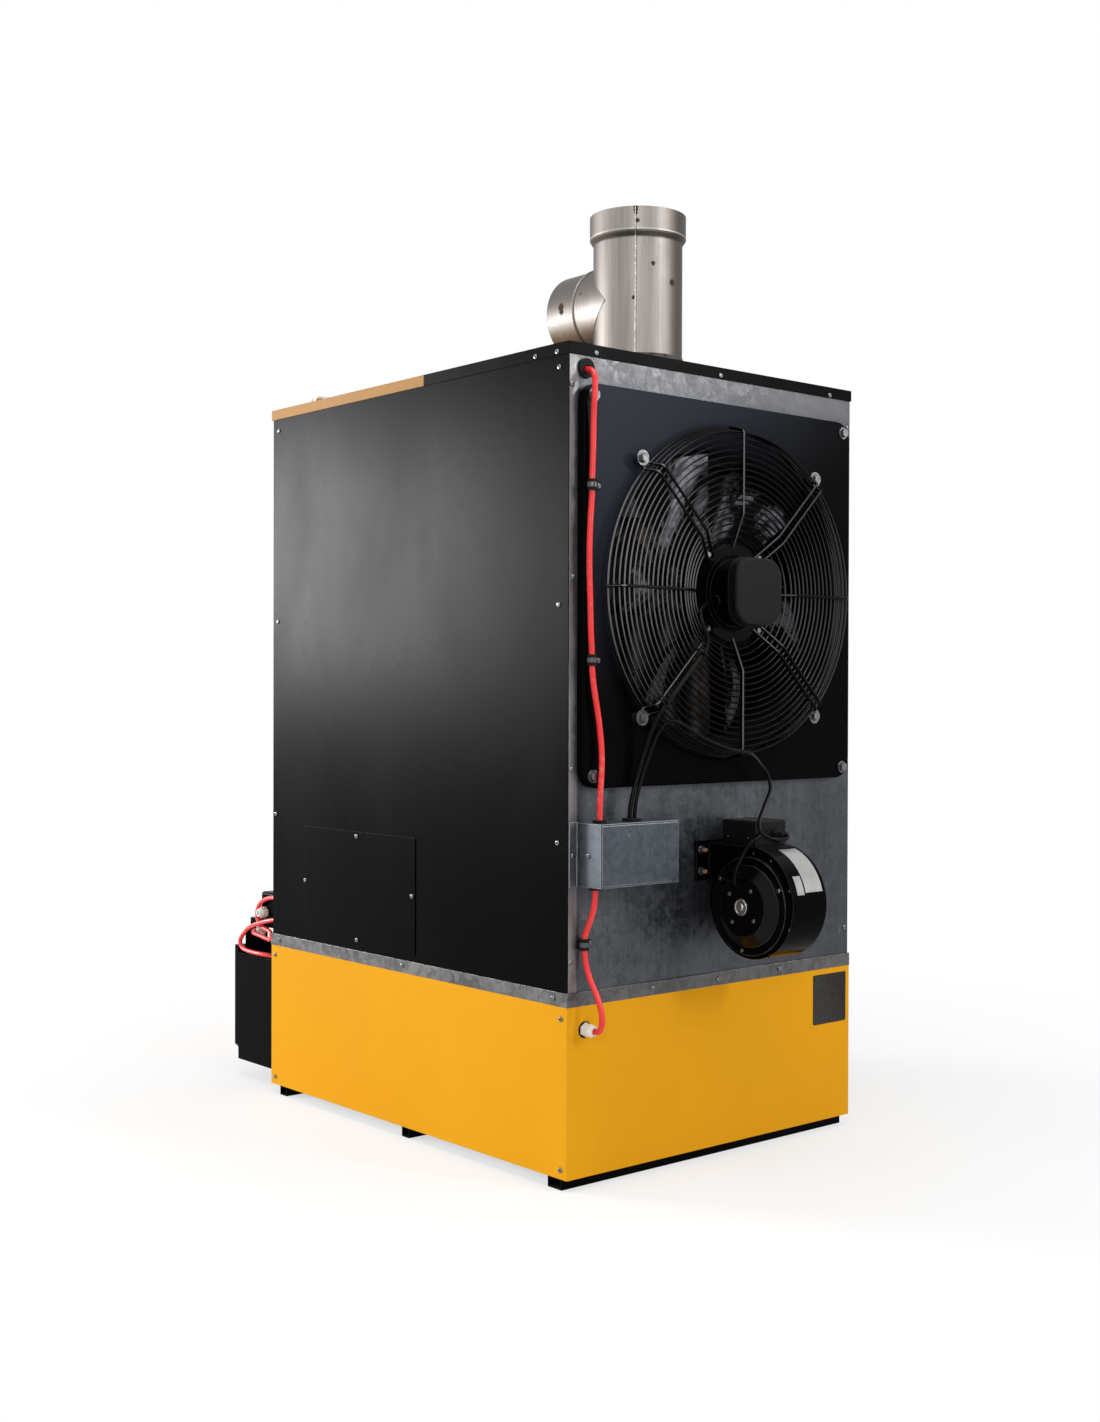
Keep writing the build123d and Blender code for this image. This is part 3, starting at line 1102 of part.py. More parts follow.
def cable_glands():
    """The red cable's gland in the base, the supply inlet and a closed spare inlet."""
    rear_foot = HALF_LENGTH + BASE_SHEET
    rear = white_gland((287, rear_foot, 240.1), (0, 1, 0), 23)
    rear = rear - rod((287, rear_foot - 5, 240.1), (287, rear_foot + 30, 240.1), RED_D / 2 + 0.7)
    x1 = CONTROL_X[1]
    side = white_gland((x1, -478, 328), (1, 0, 0), 17)
    side = side - rod((x1 + 17 - SUPPLY_BORE_DEPTH, -478, 328), (x1 + 20, -478, 328), SUPPLY_BORE)
    low = white_gland((286, -517, CONTROL_Z[0]), (0, 0, -1), 20)
    return rear, side, low


def cable(route, diameter, name):
    """A round cable along straight runs joined by arcs as large as the runs allow."""
    points = [Vector(*p) for p in route]
    radii = []
    for before, here, after in zip(points, points[1:], points[2:]):
        run_in = here - before
        run_out = after - here
        turn = math.radians(run_in.get_angle(run_out))
        radii.append(0.45 * min(run_in.length, run_out.length) / math.tan(turn / 2))
    path = FilletPolyline(*points, radius=radii)
    tube = sweep(Plane(origin=path @ 0, z_dir=path % 0) * Circle(diameter / 2), path=path)
    expected = math.pi * diameter ** 2 / 4 * path.length
    print(name, "length", round(path.length), "least radius", round(min(radii), 1),
          "volume / expected", round(tube.volume / expected, 4))
    return tube


# Front face fittings

def control_box():
    """The switch box on the front panel, with holes for its switches and glands."""
    x0, x1 = CONTROL_X
    z0, z1 = CONTROL_Z
    outer = block(x0, x1, CONTROL_Y, -HALF_LENGTH, z0, z1)
    outer = fillet(outer.edges().filter_by(Axis.Y), 5)
    inner = block(x0 + 2.5, x1 - 2.5, CONTROL_Y + 2.5, -HALF_LENGTH - 2.5, z0 + 2.5, z1 - 2.5)
    shelf = block(255, x1, -534, CONTROL_Y + 3, z0, z0 + 14)
    shelf = shelf - block(258, x1 - 3, -531, CONTROL_Y + 4, z0 + 3, z0 + 11)
    holes = [rod((KNOB_X, CONTROL_Y - 5, KNOB_Z), (KNOB_X, CONTROL_Y + 5, KNOB_Z), 4.05)]
    holes.append(block(SWITCH_X - 10.4, SWITCH_X + 10.4, CONTROL_Y - 5, CONTROL_Y + 5,
                       KNOB_Z - 15.4, KNOB_Z + 15.4))
    holes.append(rod((RESET_X, CONTROL_Y - 5, KNOB_Z), (RESET_X, CONTROL_Y + 5, KNOB_Z), 7.05))
    holes.append(rod((266, -518, z0 - 5), (266, -518, z0 + 5), CONTROL_CABLE_D / 2 + 3))
    return outer + shelf - inner - holes


def selector_knob():
    """A round knob with a bar grip on a stepped shaft."""
    front = CONTROL_Y - 0.6
    knob = rod((KNOB_X, front - 10, KNOB_Z), (KNOB_X, front, KNOB_Z), 17)
    grip = block(KNOB_X - 4, KNOB_X + 4, front - 20, front - 9, KNOB_Z - 15, KNOB_Z + 15)
    shaft = rod((KNOB_X, front - 1, KNOB_Z), (KNOB_X, CONTROL_Y + 14, KNOB_Z), 4)
    return knob + grip + shaft


def rocker_switch():
    """A rocker on a level axle, its lower end pressed in."""
    plate = block(-9.6, 9.6, -9, 1, -13, 13)
    notch = Pos(0, -11.5, 0) * Rot(0, 90, 0) * Cylinder(9, 40)
    axle = rod((-13, 0, 0), (13, 0, 0), 2)
    return Pos(SWITCH_X, CONTROL_Y + 5, KNOB_Z) * Rot(ROCKER_TILT, 0, 0) * (plate - notch + axle)


def reset_button():
    y = CONTROL_Y
    stem = rod((RESET_X, y - 5, KNOB_Z), (RESET_X, y + 12, KNOB_Z), 7)
    stem = fillet(stem.faces().sort_by(Axis.Y)[0].edges(), 1.5)
    return stem + rod((RESET_X, y + 5.9, KNOB_Z), (RESET_X, y + 8, KNOB_Z), 9)


def pump_box():
    """The open-topped tray in front of the base, with an upright cable bracket."""
    x0, x1 = PUMP_X
    y0, y1 = PUMP_Y
    z0, z1 = PUMP_Z
    t = 2.0
    tray = block(x0, x1, y0, y1, z0, z1) - block(x0 + t, x1 - t, y0 + t, y1 - t, z0 + t, z1 + 1)
    bracket = block(252, x1, -553, -551, 60, 294)
    bracket = fillet(bracket.edges().filter_by(Axis.Y).group_by(Axis.Z)[-1], 14)
    suction = rod((120, y1 - 5, 110), (120, y1 + 5, 110), 8)
    delivery = rod((x0 - 5, -500, 191), (x0 + 5, -500, 191), 7.5)
    return tray + bracket - suction - delivery


def pump_box_cover():
    """The pressed cover on the tray's front, chamfered at its lower corners."""
    x0, x1 = PUMP_X
    cover = block(x0, x1, -594, PUMP_Y[0], 47, 254)
    cover = chamfer(cover.edges().filter_by(Axis.Y).group_by(Axis.Z)[0], 14)
    cover = cover - block(x0 + 16, x1 - 16, -592, PUMP_Y[0] + 1, 63, 238)
    return fillet(cover.faces().sort_by(Axis.Y)[0].edges(), 1.5)


def fuel_pump():
    """The gear pump and its motor on a bracket, with suction and delivery ports."""
    motor = rod((186, -500, 112), (270, -500, 112), 34)
    head = block(166, 186, -528, -472, 84, 140)
    head = fillet(head.edges().filter_by(Axis.X), 8)
    foot = block(190, 262, -524, -476, PUMP_Z[0] + 2, 84)
    riser = rod((176, -500, 138), (176, -500, 190), 9)
    port = rod((160, -500, 190), (178, -500, 190), 9)
    ports = [rod((159, -500, 190), (170, -500, 190), HOSE_D / 2 + 0.6)]
    ports.append(rod((165, -468.4, 112), (176, -468.4, 112), HOSE_D / 2 + 0.6))
    return motor.fuse(head, foot, riser, port) - ports


def main():
    write("foot_rails", *foot_rails())
    write("base_floor", base_floor())
    write("base_end_sheets", *base_end_sheets())
    write("base_side_sheets", *base_side_sheets())
    write("fuel_tank", fuel_tank())
    write("filler_neck", filler_neck())
    write("filler_cap", filler_cap())
    write("frame_members", *frame_members())
    write("trim_strips", *trim_strips())
    write("deck_plate", deck_plate())
    write("side_panel_right", side_panel(1))
    write("side_panel_left", side_panel(-1))
    write("side_hatch", side_hatch())
    write("rear_panel", rear_panel())
    write("front_panel", front_panel())
    write("rear_top_cover", rear_top_cover())
    write("top_lid", top_lid())
    write("lid_hinges_fixed", *lid_hinges_fixed())
    write("lid_fittings", *lid_fittings())
    write("outlet_frame", outlet_frame())
    for k in range(VANE_COUNT):
        write(f"louvre_vane_{k + 1}", louvre_vane(k))
    write("combustion_chamber", combustion_chamber())
    write("chamber_cover", chamber_cover())
    write("burner_pot", burner_pot())
    write("heat_exchanger", heat_exchanger())
    write("air_duct", air_duct())
    write("flue_tee", flue_tee())
    write("draught_ring", draught_ring())
    write("draught_flap", draught_flap())
    write("fan_plate", fan_plate())
    write("fan_guard", fan_guard())
    write("fan_motor", fan_motor())
    write("fan_motor_cap", fan_motor_cap())
    write("fan_impeller", fan_impeller())
    write("rear_bolts", *rear_bolts())
    write("blower_scroll", blower_scroll())
    write("blower_motor_cover", blower_motor_cover())
    write("blower_impeller", blower_impeller())
    write("blower_terminal_box", blower_terminal_box())
    write("junction_box", junction_box())
    write("cable_glands", *cable_glands())
    write("cable_grommets", *cable_grommets())
    write("cable_clips", *cable_clips())
    write("casing_screws", *casing_screws())
    write("control_box", control_box())
    write("selector_knob", selector_knob())
    write("rocker_switch", rocker_switch())
    write("reset_button", reset_button())
    write("pump_box", pump_box())
    write("pump_box_cover", pump_box_cover())
    write("fuel_pump", fuel_pump())
    write("red_cable_upper", cable(RED_UPPER_ROUTE, RED_D, "red cable, upper"))
    write("red_cable_lower", cable(RED_LOWER_ROUTE, RED_D, "red cable, lower"))
    write("fan_cable", cable(FAN_CABLE_ROUTE, FAN_CABLE_D, "fan cable"))
    write("blower_cable", cable(BLOWER_CABLE_ROUTE, BLOWER_CABLE_D, "blower cable"),
          cable(SHORT_CABLE_ROUTE, BLOWER_CABLE_D, "blower motor cable"))
    write("control_cables", *[cable(route, CONTROL_CABLE_D, "control cable")
                              for route in CONTROL_CABLE_ROUTES])
    write("fuel_hoses", cable(SUCTION_HOSE_ROUTE, HOSE_D, "suction hose"),
          cable(DELIVERY_HOSE_ROUTE, HOSE_D, "delivery hose"))


main()
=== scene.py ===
"""Looks of the waste oil heater: cables, finishes, small fittings, floor, light and camera."""

import math

import bmesh
import bpy
from mathutils import Matrix, Vector


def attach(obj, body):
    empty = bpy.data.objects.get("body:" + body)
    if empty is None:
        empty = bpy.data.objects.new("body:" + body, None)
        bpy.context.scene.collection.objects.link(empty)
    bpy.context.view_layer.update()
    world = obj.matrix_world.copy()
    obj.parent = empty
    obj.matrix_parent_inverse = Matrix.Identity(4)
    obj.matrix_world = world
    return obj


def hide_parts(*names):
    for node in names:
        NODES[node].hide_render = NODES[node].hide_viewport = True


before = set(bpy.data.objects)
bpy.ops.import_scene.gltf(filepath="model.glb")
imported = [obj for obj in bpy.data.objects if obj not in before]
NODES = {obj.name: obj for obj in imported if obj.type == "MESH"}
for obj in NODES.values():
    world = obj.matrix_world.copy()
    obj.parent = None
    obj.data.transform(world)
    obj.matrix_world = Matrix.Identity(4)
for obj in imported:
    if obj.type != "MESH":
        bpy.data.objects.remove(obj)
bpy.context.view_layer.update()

MM = 0.001
ROOT = "heater"
SHARP_EDGE = math.radians(32)

# Places on the casing, in metres, and turns round the flue's axis
BASE_REAR = 0.420
RATING_PLATE_AT = (-0.271, BASE_REAR, 0.22425)
GLAND_AT = (0.287, BASE_REAR, 0.2401)
FLUE_AXIS = (0.0, 0.225)
FLUE_R = 0.075
FLUE_FOOT = 1.276
FLUE_SHOULDER = 1.497
FLUE_RIM = 1.5435
SOCKET_R = 0.0810
BRANCH_R = 0.075
BRANCH_Z = 1.3963
SEAM_TURN = math.radians(44.2)
# turn round the flue's axis of the side given painted shade
SHADED_TURN = math.radians(136.8)
BLOWER_AXIS = (0.5125, 0.4185)
DRUM_R = 0.0876
MOTOR_AXIS = (0.5145, 0.4140)
KNOB = (0.278, -0.492, 0.333)


# Camera and light

CAMERA_AT = (1.97609, 2.32959, 0.74232)
CAMERA_YAW = math.radians(-130.2967)
CAMERA_PITCH = math.radians(-0.5646)
CAMERA_ROLL = math.radians(0.1598)
FILM_LONG_SIDE = 36.0
FOCAL_PIXELS = 1704.57
PHOTO_HEIGHT = 1422


def place_camera():
    """The camera of the photograph, found from the casing's edges."""
    data = bpy.data.cameras.new("camera")
    data.sensor_width = FILM_LONG_SIDE
    data.lens = FOCAL_PIXELS * FILM_LONG_SIDE / PHOTO_HEIGHT
    data.clip_start = 0.05
    data.clip_end = 60.0
    level = math.cos(CAMERA_PITCH)
    ahead = Vector((math.cos(CAMERA_YAW) * level, math.sin(CAMERA_YAW) * level, math.sin(CAMERA_PITCH)))
    right = Vector((math.sin(CAMERA_YAW), -math.cos(CAMERA_YAW), 0.0))
    up = right.cross(ahead)
    right_turned = right * math.cos(CAMERA_ROLL) + up * math.sin(CAMERA_ROLL)
    up_turned = up * math.cos(CAMERA_ROLL) - right * math.sin(CAMERA_ROLL)
    turn = Matrix((right_turned, up_turned, -ahead)).transposed()
    camera = bpy.data.objects.new("camera", data)
    bpy.context.scene.collection.objects.link(camera)
    camera.matrix_world = Matrix.Translation(CAMERA_AT) @ turn.to_4x4()
    bpy.context.scene.camera = camera


def softbox(name, at, towards, size, watts):
    """A rectangular lamp turned towards a point."""
    data = bpy.data.lights.new(name, "AREA")
    data.shape = "RECTANGLE"
    data.size, data.size_y = size
    data.energy = watts
    lamp = bpy.data.objects.new(name, data)
    bpy.context.scene.collection.objects.link(lamp)
    lamp.location = at
    lamp.rotation_euler = (Vector(towards) - Vector(at)).to_track_quat("-Z", "Y").to_euler()


def plain_mesh(name, vertices, faces, material):
    """An object made of the given vertices, in metres, and faces, smooth but for its sharp edges."""
    mesh = bpy.data.meshes.new(name)
    mesh.from_pydata(vertices, [], faces)
    mesh.update()
    for polygon in mesh.polygons:
        polygon.use_smooth = True
    mesh.set_sharp_from_angle(angle=SHARP_EDGE)
    mesh.materials.append(material)
    made = bpy.data.objects.new(name, mesh)
    bpy.context.scene.collection.objects.link(made)
    return made


# Node trees

def opaque(colour):
    """A colour of three numbers with a full fourth one."""
    return tuple(colour) + (1.0,)


class Graph:
    """Adds nodes to one node tree and joins them."""

    def __init__(self, tree):
        self.tree = tree

    def add(self, kind, wires=None, **settings):
        """A node with its settings, and its inputs joined or set."""
        node = self.tree.nodes.new(kind)
        for name, value in settings.items():
            setattr(node, name, value)
        for socket, value in (wires or {}).items():
            self.wire(node.inputs[socket], value)
        return node

    def wire(self, socket, value):
        """Joins a socket to another one, or gives it a fixed value."""
        if isinstance(value, bpy.types.NodeSocket):
            self.tree.links.new(value, socket)
        elif socket.type == "RGBA":
            socket.default_value = opaque(value)
        else:
            socket.default_value = value

    def maths(self, operation, first, second=0.0, clamp=False):
        node = self.add("ShaderNodeMath", {0: first, 1: second}, operation=operation, use_clamp=clamp)
        return node.outputs[0]

    def remap(self, value, low, high, to_low=0.0, to_high=1.0, smooth=False):
        node = self.add("ShaderNodeMapRange", {"Value": value, 1: low, 2: high, 3: to_low, 4: to_high})
        if smooth:
            node.interpolation_type = "SMOOTHSTEP"
        return node.outputs[0]

    def mix(self, factor, first, second):
        wires = {0: factor, 6: first, 7: second}
        return self.add("ShaderNodeMix", wires, data_type="RGBA").outputs[2]

    def noise(self, vector, scale, detail=2.0, roughness=0.5, distortion=0.0):
        wires = {"Vector": vector, "Scale": scale, "Detail": detail, "Roughness": roughness,
                 "Distortion": distortion}
        return self.add("ShaderNodeTexNoise", wires).outputs["Fac"]

    def place(self):
        """Position on the piece as it stands at rest."""
        return self.add("ShaderNodeTexCoord").outputs["Object"]

    def along(self, axis):
        """That position measured along X, Y or Z."""
        return self.add("ShaderNodeSeparateXYZ", {0: self.place()}).outputs[axis]

    def vector(self, operation, first, second):
        return self.add("ShaderNodeVectorMath", {0: first, 1: second}, operation=operation).outputs

    def dot(self, first, second):
        return self.vector("DOT_PRODUCT", first, second)["Value"]

    def normal(self):
        return self.add("ShaderNodeNewGeometry").outputs["Normal"]

    def band(self, value, middle, far, near, strength, smooth=False):
        """A mask about one value, strongest where the value is near it."""
        gap = self.maths("ABSOLUTE", self.maths("SUBTRACT", value, middle))
        return self.remap(gap, far, near, 0.0, strength, smooth)

    def stretched(self, factors):
        return self.vector("MULTIPLY", self.place(), factors)[0]

    def effect(self, group, **inputs):
        node = self.add("ShaderNodeGroup", node_tree=group)
        for name, value in inputs.items():
            self.wire(node.inputs[name.replace("_", " ").capitalize()], value)
        return node.outputs

    def bump(self, height, distance, strength=1.0, normal=None):
        node = self.add("ShaderNodeBump", {"Height": height, "Distance": distance, "Strength": strength})
        if normal is not None:
            self.wire(node.inputs["Normal"], normal)
        return node.outputs[0]


def effect_group(name, inputs, outputs):
    """A new node group with number inputs, and outputs given by name and socket type."""
    tree = bpy.data.node_groups.new(name, "ShaderNodeTree")
    for socket, value in inputs.items():
        made = tree.interface.new_socket(socket, in_out="INPUT", socket_type="NodeSocketFloat")
        made.default_value = value
    for socket, kind in outputs.items():
        tree.interface.new_socket(socket, in_out="OUTPUT", socket_type="NodeSocket" + kind)
    graph = Graph(tree)
    start = graph.add("NodeGroupInput")
    end = graph.add("NodeGroupOutput")
    return graph, start.outputs, end.inputs


def coat_grain_effect():
    """The fine pebbled surface of powder coat."""
    g, given, out = effect_group("Coat grain", {"Scale": 700.0}, {"Height": "Float"})
    fine = g.noise(g.place(), given["Scale"], 1.5, 0.5)
    broad = g.noise(g.place(), 60.0, 1.0, 0.5)
    g.wire(out["Height"], g.maths("ADD", fine, g.maths("MULTIPLY", broad, 0.5)))
    return g.tree


def handling_effect():
    """Soft smears and fingermarks that change how a sheet shines."""
    g, given, out = effect_group("Handling marks", {"Scale": 5.0}, {"Mask": "Float"})
    smears = g.noise(g.stretched((1.0, 1.0, 0.55)), given["Scale"], 3.0, 0.55, 0.4)
    prints = g.noise(g.place(), 42.0, 2.0, 0.6)
    both = g.maths("ADD", g.remap(smears, 0.38, 0.68, 0.0, 0.8), g.remap(prints, 0.55, 0.75, 0.0, 0.25))
    g.wire(out["Mask"], both)
    return g.tree


def edge_effect():
    """Softened sheet edges, with a mask of where the finish is rubbed."""
    g, given, out = effect_group("Sheet edges", {"Radius": 0.001, "Rub": 0.5, "Whole": 0.0},
                                 {"Mask": "Float", "Normal": "Vector"})
    soft = g.add("ShaderNodeBevel", {"Radius": given["Radius"]}, samples=4).outputs[0]
    edge = g.remap(g.dot(soft, g.normal()), 0.995, 0.90)
    broken = g.maths("MAXIMUM", g.remap(g.noise(g.place(), 55.0, 4.0, 0.65), 0.42, 0.62), given["Whole"])
    g.wire(out["Mask"], g.maths("MULTIPLY", g.maths("MULTIPLY", edge, broken), given["Rub"]))
    g.wire(out["Normal"], soft)
    return g.tree


def dust_effect():
    """Dust that has settled on faces that look up."""
    g, given, out = effect_group("Settled dust", {"Amount": 0.3}, {"Mask": "Float"})
    level = g.remap(g.dot(g.normal(), (0.0, 0.0, 1.0)), 0.55, 0.98)
    drift = g.remap(g.noise(g.place(), 16.0, 5.0, 0.62), 0.3, 0.75, 0.35, 1.0)
    g.wire(out["Mask"], g.maths("MULTIPLY", g.maths("MULTIPLY", level, drift), given["Amount"]))
    return g.tree


def spangle_effect():
    """The frosted crystals of hot-dip zinc on steel sheet."""
    g, given, out = effect_group("Zinc spangle", {"Scale": 75.0},
                                 {"Tone": "Float", "Cloud": "Float", "Height": "Float"})
    wander = g.add("ShaderNodeTexNoise", {"Vector": g.place(), "Scale": 60.0, "Detail": 2.0})
    shift = g.vector("MULTIPLY", wander.outputs["Color"], (0.012, 0.012, 0.012))[0]
    bent = g.vector("ADD", g.place(), shift)[0]
    finer = g.maths("MULTIPLY", given["Scale"], 2.7)
    large = g.add("ShaderNodeTexVoronoi", {"Vector": bent, "Scale": given["Scale"]}).outputs["Color"]
    small = g.add("ShaderNodeTexVoronoi", {"Vector": bent, "Scale": finer}).outputs["Color"]
    tone_large = g.add("ShaderNodeSeparateColor", {0: large}).outputs[0]
    tone_small = g.add("ShaderNodeSeparateColor", {0: small}).outputs[1]
    mixed = g.maths("ADD", g.maths("MULTIPLY", tone_large, 0.6), g.maths("MULTIPLY", tone_small, 0.4))
    g.wire(out["Tone"], mixed)
    g.wire(out["Cloud"], g.noise(g.stretched((1.0, 1.0, 0.5)), 7.0, 5.0, 0.6))
    g.wire(out["Height"], g.maths("ADD", mixed, g.noise(g.place(), 900.0, 1.0)))
    return g.tree


def streak_effect():
    """Upright rolling and drawing lines on steel."""
    g, given, out = effect_group("Rolled streaks", {"Scale": 260.0}, {"Tone": "Float", "Height": "Float"})
    lines = g.noise(g.stretched((1.0, 1.0, 0.03)), given["Scale"], 3.0, 0.65)
    patches = g.noise(g.stretched((1.0, 1.0, 0.35)), 14.0, 4.0, 0.6)
    g.wire(out["Tone"], g.maths("ADD", g.maths("MULTIPLY", lines, 0.55), g.maths("MULTIPLY", patches, 0.45)))
    g.wire(out["Height"], lines)
    return g.tree


def speckle_effect():
    """Small scattered spots, such as specks of rust or splashes."""
    g, given, out = effect_group("Speckle", {"Scale": 60.0, "Cover": 0.3}, {"Mask": "Float"})
    coarse = g.noise(g.place(), given["Scale"], 4.0, 0.6)
    gate = g.noise(g.place(), 9.0, 2.0, 0.5)
    field = g.maths("MULTIPLY", coarse, g.maths("ADD", gate, 0.5))
    start = g.maths("SUBTRACT", 0.92, given["Cover"])
    g.wire(out["Mask"], g.remap(g.maths("SUBTRACT", field, start), 0.0, 0.08))
    return g.tree


def moulding_effect():
    """The sparkled grain of moulded plastic and rubber."""
    g, given, out = effect_group("Moulded grain", {"Scale": 1200.0}, {"Height": "Float"})
    pits = g.add("ShaderNodeTexVoronoi", {"Vector": g.place(), "Scale": given["Scale"]}).outputs["Distance"]
    g.wire(out["Height"], g.maths("ADD", pits, g.noise(g.place(), 300.0, 2.0)))
    return g.tree


COAT_GRAIN = coat_grain_effect()
HANDLING = handling_effect()
EDGES = edge_effect()
DUST = dust_effect()
SPANGLE = spangle_effect()
STREAKS = streak_effect()
SPECKLE = speckle_effect()
MOULDING = moulding_effect()


def finish_named(name, metallic=0.0, specular=0.5):
    """A new material with its shader joined to the output."""
    material = bpy.data.materials.new(name)
    material.use_nodes = True
    material.node_tree.nodes.clear()
    graph = Graph(material.node_tree)
    shader = graph.add("ShaderNodeBsdfPrincipled", {"Metallic": metallic, "Specular IOR Level": specular})
    graph.add("ShaderNodeOutputMaterial", {"Surface": shader.outputs[0]})
    return material, graph, shader.inputs


def painted_light_mask(g, start, end, border):
    """Painted light that thins out from one point of the piece to another, and stops short of a border in X.
    """
    reach = Vector(end) - Vector(start)
    along = g.dot(g.vector("SUBTRACT", g.place(), start)[0], tuple(reach / reach.length_squared))
    cloud = g.maths("MULTIPLY", g.maths("SUBTRACT", g.noise(g.place(), 5.0, 3.0), 0.5), 0.35)
    # painted light: strongest at the start and fading to nothing at the end, with a cloudy edge
    painted_light = g.remap(g.maths("ADD", along, cloud), 1.0, 0.0, 0.0, 1.0, smooth=True)
    inside = g.remap(g.along("X"), border + 0.004, border - 0.004)
    return g.maths("MULTIPLY", painted_light, inside)


def powder_coat(name, colour, shade, bare, roughness, specular, rub=0.35, dust=0.05, grain=0.00005,
                painted_light=None):
    """Powder coat: pebbled, slightly smeared, rubbed at the edges and dusty on top.

    Painted light, where given (a painted sheen on the fan plate and a painted shade on the lid), is given by
    where it starts and ends, the X where it stops, and its colour.
    """
    material, g, shader = finish_named(name, specular=specular)
    edge = g.effect(EDGES, radius=0.0011, rub=rub)
    marks = g.effect(HANDLING, scale=4.0)["Mask"]
    settled = g.effect(DUST, amount=dust)["Mask"]
    tone = g.noise(g.place(), 2.6, 3.0, 0.5)
    paint = g.mix(g.remap(tone, 0.3, 0.7), colour, shade)
    if painted_light is not None:
        start, end, border, painted_colour = painted_light
        # painted light: the coat's colour is blended towards the painted colour
        paint = g.mix(painted_light_mask(g, start, end, border), paint, painted_colour)
    paint = g.mix(edge["Mask"], paint, bare)
    paint = g.mix(settled, paint, (0.30, 0.28, 0.25))
    g.wire(shader["Base Color"], paint)
    rough = g.remap(marks, 0.0, 1.0, roughness, roughness + 0.07)
    g.wire(shader["Roughness"], g.maths("ADD", rough, g.maths("MULTIPLY", settled, 0.3), clamp=True))
    height = g.effect(COAT_GRAIN, scale=650.0)["Height"]
    g.wire(shader["Normal"], g.bump(height, grain, 0.6, edge["Normal"]))
    return material


def galvanised_sheet(name, dark, light, roughness, spangle=70.0, rim=0.0008, whole=0.0, polished=None):
    """Hot-dip galvanised sheet with clouded crystals, a few handling marks and bright cut edges.

    Painted light, where given: the X past which a painted highlight lies, the height above which the sheet
    is painted lighter, and the dull and bright tints of that painted light.
    """
    material, g, shader = finish_named(name, metallic=0.9)
    crystal = g.effect(SPANGLE, scale=spangle)
    edge = g.effect(EDGES, radius=rim, rub=1.2, whole=whole)
    marks = g.effect(SPECKLE, scale=38.0, cover=0.22)["Mask"]
    tone = g.remap(crystal["Tone"], 0.15, 0.85, 0.0, 0.40)
    cloud = g.remap(crystal["Cloud"], 0.3, 0.7, 0.0, 0.50)
    drawn = g.remap(g.effect(STREAKS, scale=150.0)["Tone"], 0.35, 0.65, -0.12, 0.22)
    zinc = g.mix(g.maths("ADD", g.maths("ADD", tone, cloud), drawn, clamp=True), dark, light)
    if polished is not None:
        lit_edge_x, lit_top_z, dull, bright = polished
        x = g.along("X")
        # painted shade: the sheet darker towards -X
        zinc = g.mix(g.remap(x, 0.08, -0.30, 0.0, 0.5), zinc, dark)
        # painted light: above the given height the sheet is painted lighter, more so towards +X
        frosted = g.mix(g.noise(g.place(), 240.0, 3.0), dull, bright)
        lit_top = g.remap(g.along("Z"), lit_top_z, lit_top_z + 0.05, 0.0, 0.85, smooth=True)
        zinc = g.mix(lit_top, zinc, g.mix(g.remap(x, -0.1, 0.3, 0.25, 0.9), dull, frosted))
        # painted highlight: bright past the given X, like a bent edge catching the light
        zinc = g.mix(g.remap(x, lit_edge_x, lit_edge_x + 0.003), zinc, bright)
    zinc = g.mix(g.maths("MULTIPLY", marks, 0.30), zinc, (0.22, 0.22, 0.23))
    zinc = g.mix(edge["Mask"], zinc, (0.45, 0.46, 0.48))
    g.wire(shader["Base Color"], zinc)
    g.wire(shader["Roughness"], g.remap(crystal["Tone"], 0.0, 1.0, roughness - 0.08, roughness + 0.12))
    g.wire(shader["Normal"], g.bump(crystal["Height"], 0.00004, 0.5, edge["Normal"]))
    return material


def spot_mask(g, at, radius):
    """A ragged round mark about a point of the piece."""
    gap = g.vector("DISTANCE", g.place(), at)["Value"]
    ragged = g.maths("ADD", gap, g.maths("MULTIPLY", g.noise(g.place(), 320.0, 3.0), radius * 0.8))
    return g.remap(ragged, radius * 1.45, radius * 0.95, smooth=True)


